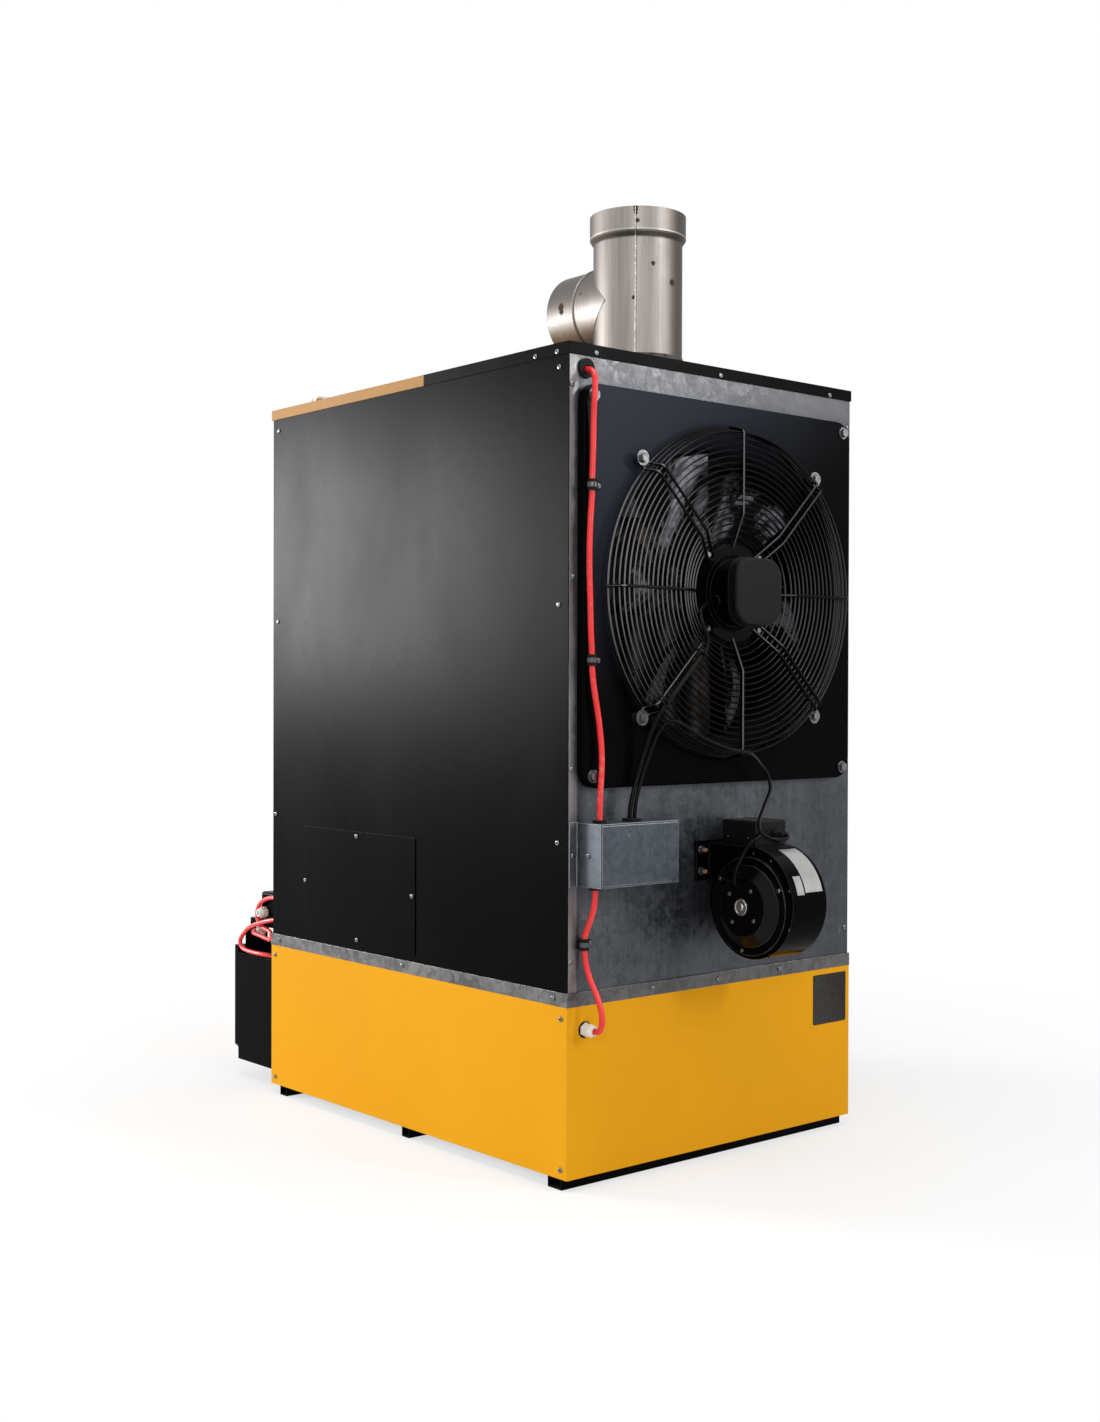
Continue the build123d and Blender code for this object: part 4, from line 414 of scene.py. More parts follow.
def flue_steel(name, spots):
    """Stainless flue sheet: upright streaks, rust where it was touched by steel, painted shade at its
    outline, on one side, on its branch and under the socket's rim, and a painted highlight round the socket.
    """
    material, g, shader = finish_named(name, metallic=1.0)
    streaks = g.effect(STREAKS, scale=230.0)
    edge = g.effect(EDGES, radius=0.0006, rub=0.6)
    rust = g.effect(SPECKLE, scale=120.0, cover=0.17)["Mask"]
    drawn = g.remap(streaks["Tone"], 0.32, 0.68)
    steel = g.mix(drawn, (0.225, 0.206, 0.190), (0.315, 0.295, 0.277))
    # painted shade: the steel darker where its face turns away from the camera, towards its outline as seen
    facing = g.add("ShaderNodeLayerWeight", {"Blend": 0.5}).outputs["Facing"]
    steel = g.mix(g.remap(facing, 0.22, 0.75), steel, (0.09, 0.078, 0.072))
    # painted shade: the side of the flue turned this way darkened to a dark brown
    shaded_side = (math.cos(SHADED_TURN), math.sin(SHADED_TURN), 0.0)
    from_axis = g.vector("SUBTRACT", g.place(), FLUE_AXIS + (0.0,))[0]
    dark_tint = g.remap(g.dot(from_axis, shaded_side), 0.45 * FLUE_R, 0.95 * FLUE_R, 0.0, 0.85, smooth=True)
    steel = g.mix(dark_tint, steel, (0.060, 0.046, 0.038))
    # painted shade: the branch darker than the flue
    branch = g.remap(g.along("Y"), 0.146, 0.136, 0.0, 0.38)
    steel = g.mix(branch, steel, (0.10, 0.092, 0.086))
    # painted shadow: a dark band round the flue just under the socket's rim
    shoulder_shadow = g.band(g.along("Z"), FLUE_SHOULDER + 0.0025, 0.0060, 0.0025, 0.80, smooth=True)
    steel = g.mix(shoulder_shadow, steel, (0.045, 0.038, 0.034))
    # painted highlight: a bright thin line round the socket's lower edge
    socket_highlight = g.band(g.along("Z"), FLUE_SHOULDER + 0.0105, 0.0018, 0.0006, 0.45)
    steel = g.mix(socket_highlight, steel, (0.50, 0.48, 0.46))
    steel = g.mix(edge["Mask"], steel, (0.6, 0.58, 0.56))
    mask = g.maths("MULTIPLY", rust, 0.5)
    for at, radius in spots:
        mask = g.maths("MAXIMUM", mask, spot_mask(g, at, radius))
    steel = g.mix(mask, steel, (0.045, 0.020, 0.010))
    g.wire(shader["Base Color"], steel)
    g.wire(shader["Metallic"], g.remap(mask, 0.0, 1.0, 1.0, 0.3))
    smears = g.effect(HANDLING, scale=9.0)["Mask"]
    rough = g.remap(smears, 0.0, 1.0, 0.46, 0.56)
    g.wire(shader["Roughness"], g.maths("ADD", rough, g.maths("MULTIPLY", mask, 0.4)))
    g.wire(shader["Normal"], g.bump(streaks["Height"], 0.00003, 0.6, edge["Normal"]))
    return material


def plated_metal(name, colour, roughness, tarnish, specks=0.2):
    """Zinc, nickel or chrome plate, with dull patches and bright edges."""
    material, g, shader = finish_named(name, metallic=1.0)
    edge = g.effect(EDGES, radius=0.0004, rub=1.0)
    patches = g.remap(g.noise(g.place(), 180.0, 3.0, 0.6), 0.4, 0.7)
    specked = g.effect(SPECKLE, scale=300.0, cover=specks)["Mask"]
    plate = g.mix(g.maths("MULTIPLY", patches, 0.6), colour, tarnish)
    plate = g.mix(g.maths("MULTIPLY", specked, 0.5), plate, (0.10, 0.07, 0.05))
    # edges made brighter: partly wear, partly a painted highlight
    rubbed = [min(1.0, 1.8 * c) for c in colour]
    plate = g.mix(g.maths("MULTIPLY", edge["Mask"], 0.5), plate, rubbed)
    g.wire(shader["Base Color"], plate)
    g.wire(shader["Roughness"], g.remap(patches, 0.0, 1.0, roughness, roughness + 0.18))
    fine = g.noise(g.place(), 1500.0, 2.0)
    g.wire(shader["Normal"], g.bump(fine, 0.00002, 0.4, edge["Normal"]))
    return material


def heat_stained_steel(name, light, dark_tint, roughness):
    """Mild steel that has been hot: blue-brown clouds, scale and welded edges."""
    material, g, shader = finish_named(name, metallic=0.85)
    clouds = g.noise(g.stretched((1.0, 1.0, 0.6)), 9.0, 5.0, 0.6, 0.5)
    scale = g.effect(SPECKLE, scale=70.0, cover=0.36)["Mask"]
    edge = g.effect(EDGES, radius=0.001, rub=0.5)
    steel = g.mix(g.remap(clouds, 0.35, 0.65), light, dark_tint)
    steel = g.mix(scale, steel, (0.05, 0.03, 0.02))
    steel = g.mix(edge["Mask"], steel, (0.25, 0.24, 0.23))
    g.wire(shader["Base Color"], steel)
    g.wire(shader["Roughness"], g.remap(clouds, 0.3, 0.7, roughness, roughness + 0.2))
    rough = g.maths("ADD", g.noise(g.place(), 420.0, 3.0), g.maths("MULTIPLY", scale, 0.4))
    g.wire(shader["Normal"], g.bump(rough, 0.00012, 0.7, edge["Normal"]))
    return material


def cast_metal(name, colour, pale, roughness, metallic=0.6):
    """Sand-cast metal with a coarse skin."""
    material, g, shader = finish_named(name, metallic=metallic)
    skin = g.noise(g.place(), 520.0, 4.0, 0.6)
    cloud = g.noise(g.place(), 30.0, 3.0)
    edge = g.effect(EDGES, radius=0.0012, rub=0.9)
    metal = g.mix(g.remap(cloud, 0.35, 0.65), colour, pale)
    metal = g.mix(edge["Mask"], metal, (0.35, 0.34, 0.33))
    g.wire(shader["Base Color"], metal)
    g.wire(shader["Roughness"], g.remap(skin, 0.3, 0.7, roughness - 0.08, roughness + 0.12))
    g.wire(shader["Normal"], g.bump(skin, 0.0003, 0.6, edge["Normal"]))
    return material


def gloss_enamel(name, colour, roughness, specular, dust=0.05, rub=0.25, sheen_patches=0.0, crest=0.0):
    """Dipped enamel of the fan and blower, a little dusty.

    Where given, it has patches painted with a pale bluish, metal-like sheen, and a painted highlight along
    the crests of wires, stronger towards the side with the hatch.
    """
    material, g, shader = finish_named(name, specular=specular)
    edge = g.effect(EDGES, radius=0.0009, rub=rub, whole=0.5)
    flow = g.noise(g.place(), 75.0, 2.0, 0.5)
    settled = g.effect(DUST, amount=dust)["Mask"]
    shade = g.mix(g.remap(flow, 0.35, 0.7), colour, [1.7 * c for c in colour])
    shade = g.mix(edge["Mask"], shade, (0.12, 0.115, 0.11))
    shade = g.mix(settled, shade, (0.28, 0.27, 0.25))
    if crest > 0.0:
        # painted highlight: wire crests facing one fixed side are made pale, more so towards +X
        outward = g.remap(g.dot(g.normal(), HIGHLIGHT_SIDE), 0.80, 0.96)
        highlight_strength = g.remap(g.along("X"), -0.26, 0.24, 0.10, crest)
        shade = g.mix(g.maths("MULTIPLY", outward, highlight_strength), shade, (0.42, 0.42, 0.43))
    if sheen_patches > 0.0:
        # painted sheen: pale bluish patches on the blades, also made metal-like so they reflect
        sheen_cloud = g.noise(g.stretched((1.0, 1.0, 0.5)), 10.0, 5.0, 0.68, 0.8)
        sheen = g.remap(sheen_cloud, 0.50, 0.66, 0.0, sheen_patches, smooth=True)
        shade = g.mix(sheen, shade, (0.30, 0.305, 0.335))
        g.wire(shader["Metallic"], sheen)
    g.wire(shader["Base Color"], shade)
    smears = g.effect(HANDLING, scale=18.0)["Mask"]
    rough = g.remap(smears, 0.0, 1.0, roughness, roughness + 0.1)
    g.wire(shader["Roughness"], g.maths("ADD", rough, g.maths("MULTIPLY", settled, 0.4), clamp=True))
    g.wire(shader["Normal"], g.bump(flow, 0.00025, 0.4, edge["Normal"]))
    return material


def moulded_plastic(name, colour, pale, roughness, grain=0.00006, specular=0.5, dust=0.12):
    """Moulded plastic or rubber with a sparkled grain."""
    material, g, shader = finish_named(name, specular=specular)
    edge = g.effect(EDGES, radius=0.0012, rub=0.3)
    cloud = g.noise(g.place(), 24.0, 3.0)
    settled = g.effect(DUST, amount=dust)["Mask"]
    shade = g.mix(g.remap(cloud, 0.35, 0.7), colour, pale)
    shade = g.mix(settled, shade, (0.32, 0.30, 0.27))
    g.wire(shader["Base Color"], shade)
    g.wire(shader["Roughness"], g.remap(cloud, 0.3, 0.7, roughness - 0.04, roughness + 0.08))
    height = g.effect(MOULDING, scale=1300.0)["Height"]
    g.wire(shader["Normal"], g.bump(height, grain, 0.5, edge["Normal"]))
    return material


def cable_sheath(name, colour, worn, roughness, specular=0.5, scuffed=0.25):
    """A drawn cable sheath: faint length-wise lines, smears and pale scuffs."""
    material, g, shader = finish_named(name, specular=specular)
    scuffs = g.effect(SPECKLE, scale=170.0, cover=0.3)["Mask"]
    cloud = g.noise(g.place(), 40.0, 3.0)
    skin = g.mix(g.remap(cloud, 0.3, 0.75), colour, worn)
    skin = g.mix(g.maths("MULTIPLY", scuffs, scuffed), skin, (0.5, 0.45, 0.42))
    g.wire(shader["Base Color"], skin)
    g.wire(shader["Roughness"], g.remap(cloud, 0.3, 0.7, roughness, roughness + 0.12))
    lines = g.noise(g.place(), 900.0, 2.0)
    g.wire(shader["Normal"], g.bump(lines, 0.00005, 0.5))
    return material


# Where the painted highlights on the crests of the guard's wires face
HIGHLIGHT_SIDE = (0.70, 0.70, 0.12)

# Painted sheen and painted shade: start, end, the X where they stop, and colour
# painted sheen: a pale bluish glow on the fan plate's top left, standing in for a lamp's reflection; it
# stops short of the plate's left rim, which stays dark like a shadow gap
PLATE_PAINTED_SHEEN = ((0.27, 0.433, 1.17), (0.02, 0.433, 0.86), 0.292, (0.024, 0.027, 0.037))
# painted shade: the lid's outer side flange darkened to a dull brown, for how the light falls on it
LID_PAINTED_SHADE = ((0.3255, 0.0, 1.25), (0.3150, 0.0, 1.25), 0.40, (0.26, 0.17, 0.11))

# Painted light on zinc sheet: the X past which a painted highlight lies, the height above which the sheet is
# painted lighter, and the dull and bright tints
NO_HEIGHT = 9.0
# painted light on the rear panel: a bright strip at its +X edge, a lighter band above the fan plate, and
# darker towards -X
PANEL_PAINTED_LIGHT = (0.3005, 1.19, (0.085, 0.084, 0.090), (0.19, 0.185, 0.187))
# painted light on the junction box: its +X side painted bright
BOX_PAINTED_LIGHT = (0.3024, NO_HEIGHT, (0.2, 0.2, 0.2), (0.165, 0.170, 0.184))

# Rust on the flue: middle and radius of each spot
RUST_SPOTS = (
    ((-0.060, 0.1150, 1.4150), 0.006),
    ((0.0745, 0.1130, 1.4040), 0.0085),
    ((0.0735, 0.1150, 1.3960), 0.0065),
    ((0.0742, 0.1600, 1.4200), 0.0050),
    ((0.0560, 0.2750, 1.3950), 0.0040),
    ((-0.0080, 0.2996, 1.4250), 0.0070),
    ((0.0300, 0.2940, 1.4520), 0.0045),
    ((0.0581, 0.2815, 1.5420), 0.0045),
    ((0.0581, 0.2815, 1.5370), 0.0045),
    ((0.0581, 0.2815, 1.5320), 0.0040),
    ((0.0560, 0.2835, 1.5200), 0.0045),
)

BLACK = powder_coat("Black powder coat", (0.0010, 0.0009, 0.0011), (0.0014, 0.0013, 0.0015),
                    (0.03, 0.03, 0.03), 0.27, 0.019, dust=0.06)
BLACK_PLATE = powder_coat("Black coated fan plate", (0.0011, 0.0010, 0.0010), (0.0020, 0.0018, 0.0018),
                          (0.04, 0.04, 0.045), 0.26, 0.014, grain=0.00003, painted_light=PLATE_PAINTED_SHEEN)
YELLOW = powder_coat("Yellow powder coat", (0.70, 0.322, 0.009), (0.65, 0.294, 0.009),
                     (0.80, 0.50, 0.08), 0.40, 0.022, rub=0.25)
LID_YELLOW = powder_coat("Yellow powder coat of the lid", (0.72, 0.330, 0.009), (0.67, 0.300, 0.009),
                         (0.80, 0.50, 0.08), 0.40, 0.022, rub=0.25, painted_light=LID_PAINTED_SHADE)
GALVANISED = galvanised_sheet("Galvanised sheet", (0.036, 0.039, 0.045), (0.105, 0.111, 0.124), 0.40,
                              polished=PANEL_PAINTED_LIGHT)
TRIM_ZINC = galvanised_sheet("Galvanised trim", (0.055, 0.053, 0.053), (0.15, 0.147, 0.145), 0.38)
# painted highlight: the box's rims are made pale almost all along, and wider than on the other zinc sheet
BOX_ZINC = galvanised_sheet("Galvanised box sheet", (0.034, 0.040, 0.048), (0.090, 0.102, 0.122), 0.42,
                            spangle=120.0, rim=0.0016, whole=0.8, polished=BOX_PAINTED_LIGHT)
STAINLESS = flue_steel("Stainless flue steel", RUST_SPOTS)
ZINC = plated_metal("Zinc plated fasteners", (0.17, 0.17, 0.175), 0.34, (0.07, 0.07, 0.07), 0.1)
SCREW_ZINC = plated_metal("Zinc plated casing screws", (0.21, 0.21, 0.212), 0.22, (0.08, 0.08, 0.08), 0.1)
CLIP_ZINC = plated_metal("Zinc plated clip bands", (0.10, 0.10, 0.103), 0.30, (0.05, 0.05, 0.05), 0.1)
CHROME = plated_metal("Chromed handles", (0.72, 0.72, 0.73), 0.08, (0.55, 0.55, 0.57), 0.05)
COPPER = plated_metal("Copper washed stud ends", (0.36, 0.19, 0.12), 0.28, (0.20, 0.11, 0.07))
HOT_STEEL = heat_stained_steel("Heat stained steel", (0.10, 0.092, 0.086), (0.045, 0.037, 0.038), 0.5)
CAST = cast_metal("Cast iron", (0.035, 0.033, 0.032), (0.075, 0.070, 0.066), 0.62)
ENAMEL = gloss_enamel("Gloss black enamel", (0.0010, 0.0008, 0.0008), 0.17, 0.016, rub=0.9)
COVER_ENAMEL = gloss_enamel("Gloss black enamel of the motor cover", (0.0010, 0.0008, 0.0008), 0.16, 0.12,
                            rub=1.2)
GUARD_ENAMEL = gloss_enamel("Gloss black wire coating", (0.0010, 0.0009, 0.0009), 0.10, 0.05, rub=0.0,
                            crest=0.55)
BLADE_ENAMEL = gloss_enamel("Blade black enamel", (0.0014, 0.0013, 0.0014), 0.13, 0.04, sheen_patches=1.0)
BLACK_PLASTIC = moulded_plastic("Black plastic", (0.0040, 0.0036, 0.0038), (0.0065, 0.0060, 0.0062), 0.38,
                                specular=0.08, dust=0.08)
RUBBER = moulded_plastic("Black rubber", (0.0045, 0.0045, 0.0045), (0.009, 0.009, 0.009), 0.50, 0.0001,
                         specular=0.10, dust=0.08)
WHITE_PLASTIC = moulded_plastic("White nylon", (0.72, 0.70, 0.66), (0.80, 0.79, 0.76), 0.34)
RED_PLASTIC = moulded_plastic("Red plastic", (0.60, 0.02, 0.015), (0.50, 0.015, 0.012), 0.26)
RED_SHEATH = cable_sheath("Red silicone sheath", (0.80, 0.022, 0.022), (0.66, 0.016, 0.018), 0.30)
BLACK_SHEATH = cable_sheath("Black cable sheath", (0.0020, 0.0018, 0.0018), (0.0035, 0.0032, 0.0032), 0.20,
                            0.07, 0.0)
ALUMINIUM = plated_metal("Turned aluminium", (0.46, 0.44, 0.42), 0.30, (0.26, 0.25, 0.24))
LABEL = moulded_plastic("Blank label foil", (0.27, 0.27, 0.265), (0.36, 0.36, 0.355), 0.30, 0.00002,
                        specular=0.4, dust=0.05)
DARK_PLATE = plated_metal("Blank rating plate", (0.036, 0.034, 0.030), 0.34, (0.022, 0.021, 0.019))
WHITE_MARK = moulded_plastic("White marks", (0.70, 0.70, 0.68), (0.78, 0.78, 0.76), 0.4, 0.00002)
HOSE_RUBBER = cable_sheath("Black hose", (0.008, 0.008, 0.008), (0.018, 0.017, 0.016), 0.48)

LOUVRE_VANES = tuple(f"louvre_vane_{number}" for number in (1, 2, 3, 4))
FINISHES = {
    BLACK: ("foot_rails", "side_panel_right", "side_panel_left", "side_hatch", "rear_top_cover",
            "outlet_frame", *LOUVRE_VANES, "pump_box", "pump_box_cover", "control_box", "air_duct",
            "lid_hinges_fixed"),
    BLACK_PLATE: ("fan_plate",),
    YELLOW: ("base_end_sheets", "base_side_sheets", "front_panel"),
    LID_YELLOW: ("top_lid",),
    GALVANISED: ("base_floor", "fuel_tank", "deck_plate", "rear_panel"),
    TRIM_ZINC: ("trim_strips", "frame_members"),
    BOX_ZINC: ("junction_box",),
    STAINLESS: ("flue_tee", "draught_ring", "draught_flap"),
    ZINC: ("rear_bolts",),
    SCREW_ZINC: ("casing_screws",),
    CHROME: ("lid_fittings",),
    HOT_STEEL: ("combustion_chamber", "chamber_cover", "heat_exchanger", "filler_neck"),
    CAST: ("burner_pot", "fuel_pump"),
    ENAMEL: ("fan_motor", "blower_scroll"),
    COVER_ENAMEL: ("blower_motor_cover",),
    GUARD_ENAMEL: ("fan_guard",),
    BLADE_ENAMEL: ("fan_impeller", "blower_impeller"),
    BLACK_PLASTIC: ("fan_motor_cap", "blower_terminal_box", "filler_cap", "selector_knob"),
    RUBBER: ("cable_grommets", "cable_clips"),
    BLACK_SHEATH: ("fan_cable", "blower_cable"),
    HOSE_RUBBER: ("fuel_hoses",),
    RED_SHEATH: ("red_cable_upper", "red_cable_lower", "control_cables"),
    WHITE_PLASTIC: ("cable_glands",),
    RED_PLASTIC: ("rocker_switch", "reset_button"),
}


def dress_cad_nodes():
    """Gives every CAD node its finish."""
    for material, names in FINISHES.items():
        for name in names:
            mesh = NODES[name].data
            mesh.materials.clear()
            mesh.materials.append(material)


# Cables and hoses, their routes in millimetres

RED_UPPER_ROUTE = (
    (287, 396, 1229), (287, 428, 1229), (289.5, 443, 1214), (293.5, 446, 1190), (292, 441.5, 1155),
    (291.5, 440.5, 1105), (293, 440, 1067), (293, 440.2, 1039), (297, 440.5, 1000),
    (298.5, 440, 940), (296, 440, 880), (295, 440.3, 835), (292.5, 440, 807), (292.5, 440.2, 779),
    (289, 440.5, 752), (281.5, 442, 712), (276.5, 443.5, 672), (276, 445, 635),
    (279.5, 445.3, 600), (280.5, 445, 572), (280.9, 445, 536),
)
RED_LOWER_ROUTE = (
    (288, 445, 470), (288.3, 445, 440), (290.5, 440, 412), (294, 430, 388), (294.5, 427, 376),
    (294.8, 427, 362), (293.5, 429, 340), (290.5, 436, 316), (287.5, 445, 299), (287, 454, 282),
    (287, 459, 266), (287.2, 459.4, 253), (287, 453, 240.1), (287, 436, 240.1), (287, 424, 240.3),
)
FAN_CABLE_ROUTE = (
    (53, 460, 888.9), (66, 462, 885.5), (86, 467, 880), (101, 474, 868), (99, 478, 851),
    (89, 480, 833), (90, 480, 816), (107, 479.5, 798), (128, 479.2, 777), (153, 479.4, 752),
    (175, 479.2, 731), (188, 467, 703), (193, 453, 668), (203, 446, 624), (216, 445, 584),
    (220.3, 445.2, 560), (220.5, 445, 536),
)
BLOWER_CABLE_ROUTE = (
    (210.5, 445, 536), (210.4, 445.2, 560), (206, 445.4, 586), (194, 447, 624), (183, 454, 662),
    (177, 466, 692), (164, 477.5, 704), (145, 479.6, 699), (119, 479.4, 685), (82, 479.2, 669),
    (43, 479.4, 658), (10, 479.8, 653.5), (-9, 478.6, 650), (-30, 470, 643), (-54, 459, 631),
    (-76, 457, 612), (-74, 464, 590), (-50, 478, 577), (-15, 500, 560), (15, 519, 545),
    (29, 534, 532), (20, 542, 521), (-6, 546, 517), (-26, 545, 519), (-36, 537, 520),
    (-36.4, 520, 520.2),
)
SHORT_CABLE_ROUTE = (
    (6, 500, 523), (6.2, 514, 523.2), (16, 521, 522), (30, 521, 516), (42, 518, 503), (51, 514, 486),
    (57.5, 511, 469), (58.5, 508.6, 455), (54, 508.2, 447.6), (42, 508.2, 447.4),
)
CONTROL_ROUTE_TOP = (
    (309, -404, 360), (309, -425, 360.3), (308.4, -446, 359), (307, -468, 354), (306, -488, 345),
    (305, -500, 332), (304.8, -502, 316), (304.8, -491, 303), (305.4, -476, 298),
    (307, -462, 297), (309, -450, 296.2), (310.4, -441, 292.5), (310.8, -437.5, 286.5),
    (310.2, -441.5, 281), (308.5, -454, 280), (305.5, -476, 281), (303, -500, 283),
    (301.5, -522, 284), (294, -535, 285.5), (280, -539, 287.5), (269, -531, 290),
    (266.2, -520, 295), (266, -515, 304),
)
CONTROL_ROUTE_LOW = (
    (309, -404, 320), (309.2, -425, 320.2), (312.4, -452, 315), (314, -484, 307), (313, -508, 299.5),
    (310, -527, 293), (308.4, -537, 287), (307.6, -549, 279), (307.4, -559, 270),
    (307.4, -561, 260), (307.4, -552, 252), (307.2, -532, 249), (306.6, -506, 248.4),
    (304.4, -480, 248), (297, -460, 247), (288, -450, 241), (284, -447, 229), (283, -446, 214),
)
SUCTION_HOSE_ROUTE = (
    (120, -366, 110), (120, -428, 110.4), (122, -448, 110), (134, -462, 111), (152, -468, 112),
    (166, -468.4, 112),
)
DELIVERY_HOSE_ROUTE = (
    (152, -500, 190), (134, -500.4, 190), (116, -500, 191), (86, -500, 192), (66, -497, 200),
    (58, -488, 222), (58, -476, 262), (58, -468, 312), (58, -462, 352), (58.2, -452, 384),
    (58, -432, 396), (58, -404, 400), (57.6, -368, 400), (57, -332, 400.4), (56.6, -278, 400),
)

# Name, route, diameter, length, finish, record slot, and the nodes it stands for
CORDS = (
    ("red_cord_upper", RED_UPPER_ROUTE, 9.0, 0.732, RED_SHEATH, "red_rubber", ("red_cable_upper",)),
    ("red_cord_lower", RED_LOWER_ROUTE, 9.0, 0.268, RED_SHEATH, "red_rubber", ("red_cable_lower",)),
    ("fan_cord", FAN_CABLE_ROUTE, 7.0, 0.434, BLACK_SHEATH, "black_rubber", ("fan_cable",)),
    ("blower_cord", BLOWER_CABLE_ROUTE, 6.0, 0.693, BLACK_SHEATH, "black_rubber", ("blower_cable",)),
    ("blower_motor_cord", SHORT_CABLE_ROUTE, 6.0, 0.130, BLACK_SHEATH, "black_rubber", ("blower_cable",)),
    ("control_cord_top", CONTROL_ROUTE_TOP, 8.0, 0.345, RED_SHEATH, "red_rubber", ("control_cables",)),
    ("control_cord_low", CONTROL_ROUTE_LOW, 8.0, 0.323, RED_SHEATH, "red_rubber", ("control_cables",)),
    ("suction_hose", SUCTION_HOSE_ROUTE, 10.0, 0.133, HOSE_RUBBER, "black_rubber", ("fuel_hoses",)),
    ("delivery_hose", DELIVERY_HOSE_ROUTE, 10.0, 0.454, HOSE_RUBBER, "black_rubber", ("fuel_hoses",)),
)


def spline_curve(name, route, radius, material):
    """A round tube along one smooth spline through the route, given in millimetres."""
    data = bpy.data.curves.new(name, "CURVE")
    data.dimensions = "3D"
    data.bevel_depth = radius
    data.bevel_resolution = 5
    data.resolution_u = 10
    data.use_fill_caps = True
    spline = data.splines.new("NURBS")
    spline.points.add(len(route) - 1)
    for point, at in zip(spline.points, route):
        point.co = in_metres(at) + (1.0,)
    spline.order_u = 3
    spline.use_endpoint_u = True
    spline.use_smooth = True
    data.materials.append(material)
    made = bpy.data.objects.new(name, data)
    bpy.context.scene.collection.objects.link(made)
    return made


def lay_cords():
    """Lays every cable and hose along its route."""
    for name, route, diameter, length, material, slot, nodes in CORDS:
        cord = spline_curve(name, route, diameter * MM / 2, material)
        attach(cord, ROOT)
        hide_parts(*nodes)


# Small shapes

def in_metres(point):
    """A point given in millimetres."""
    return tuple(v * MM for v in point)


def across(out):
    """Two directions square to the given one and to each other."""
    side = Vector((0.0, 0.0, 1.0)) if abs(out.z) < 0.9 else Vector((1.0, 0.0, 0.0))
    first = side.cross(out).normalized()
    return first, out.cross(first)


def turned(at, out, profile, steps=32):
    """Vertices and faces of a profile of (radius, height) turned about a line through at."""
    out = Vector(out).normalized()
    first, second = across(out)
    vertices = []
    faces = []
    for radius, height in profile:
        for k in range(steps):
            angle = 2 * math.pi * k / steps
            ray = first * math.cos(angle) + second * math.sin(angle)
            vertices.append(Vector(at) + out * height + ray * radius)
    for row in range(len(profile) - 1):
        for k in range(steps):
            after = (k + 1) % steps
            low = row * steps
            faces.append((low + k, low + after, low + steps + after, low + steps + k))
    faces.append(tuple(reversed(range(steps))))
    faces.append(tuple(range((len(profile) - 1) * steps, len(profile) * steps)))
    return vertices, faces


def placed(template, at, out, turn=0.0):
    """A template drawn about +Z, set at a point and facing out."""
    out = Vector(out).normalized()
    first, second = across(out)
    ahead = first * math.cos(turn) + second * math.sin(turn)
    beside = out.cross(ahead)
    vertices, faces = template
    moved = [Vector(at) + ahead * v[0] + beside * v[1] + out * v[2] for v in vertices]
    return moved, faces


def gathered(parts):
    """Many vertex and face lists as one."""
    vertices = []
    faces = []
    for more, theirs in parts:
        start = len(vertices)
        vertices += more
        faces += [tuple(start + v for v in face) for face in theirs]
    return vertices, faces


def fitting(name, parts, material, body=ROOT):
    """One piece of small shapes that rides on a body."""
    piece = plain_mesh(name, *gathered(parts), material)
    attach(piece, body)
    return piece


def rounded_outline(width, height, corner, steps=5):
    """Points round a rectangle with rounded corners, about its middle."""
    points = []
    for sx, sy, start in ((1, 1, 0), (-1, 1, 90), (-1, -1, 180), (1, -1, 270)):
        for k in range(steps + 1):
            angle = math.radians(start + 90 * k / steps)
            points.append((sx * (width / 2 - corner) + corner * math.cos(angle),
                           sy * (height / 2 - corner) + corner * math.sin(angle)))
    return points


def layered(outlines):
    """Vertices and faces of a stack of outlines, each (points, height), closed at both ends."""
    count = len(outlines[0][0])
    vertices = [(x, y, height) for points, height in outlines for x, y in points]
    faces = [tuple(reversed(range(count)))]
    for row in range(len(outlines) - 1):
        low = row * count
        for k in range(count):
            after = (k + 1) % count
            faces.append((low + k, low + after, low + count + after, low + count + k))
    faces.append(tuple(range((len(outlines) - 1) * count, len(outlines) * count)))
    return vertices, faces


# Casing screws

HEAD_PROFILE = ((4.2, 0.0), (4.2, 0.55), (4.05, 1.15), (3.65, 1.75), (3.1, 2.25), (2.75, 2.45))
HEAD_STEPS = 24
RECESS_ARM = 2.1
RECESS_HALF = 0.52
RECESS_DEPTH = 1.5
RECESS_TAPER = 0.72

# How far out each sheet's face lies, and where its screws sit on it, in millimetres
PANEL_SIDE, HATCH_SIDE, COVER_SIDE, BASE_SIDE, TRIM_SIDE = 320.0, 321.5, 322.0, 322.0, 322.5
PANEL_REAR, PANEL_SEAM, COVER_REAR, TRIM_REAR = 418.0, 419.5, 420.0, 420.5
PANEL_FRONT, OUTLET_FRONT, TRIM_FRONT = -418.0, -420.0, -420.5
SIDE_PANEL_SCREWS = ((396.6, 1230), (396.5, 876), (395, 520), (-398.5, 1227), (-401, 875), (-408, 519))
COVER_SIDE_SCREWS = ((394, 1253), (343, 1253))
TRIM_SIDE_SCREWS = ((-392, 287), (-1, 288), (388, 287))
BASE_SIDE_SCREWS = ((406, 258), (405.5, 32), (-406, 258), (-405.5, 32))
HATCH_SCREWS = ((-139, 495), (-304, 405), (25, 406), (-138, 315))
COVER_REAR_SCREWS = ((268, 1254), (1, 1253), (-265, 1252))
PANEL_SEAM_SCREWS = ((311, 502),)
REAR_PANEL_SCREWS = ((314, 1203), (311, 917), (314, 631), (315, 343),
                     (-314, 1203), (-311, 917), (-314, 631), (-311, 342))
TRIM_END_SCREWS = ((147, 287), (1, 286), (-144, 286.5))
FRONT_PANEL_SCREWS = tuple((sign * 311, z) for sign in (1, -1) for z in (1228, 917, 631, 343))
OUTLET_SCREWS = tuple((x, z) for x in (-249, 0, 249) for z in (803, 1201))


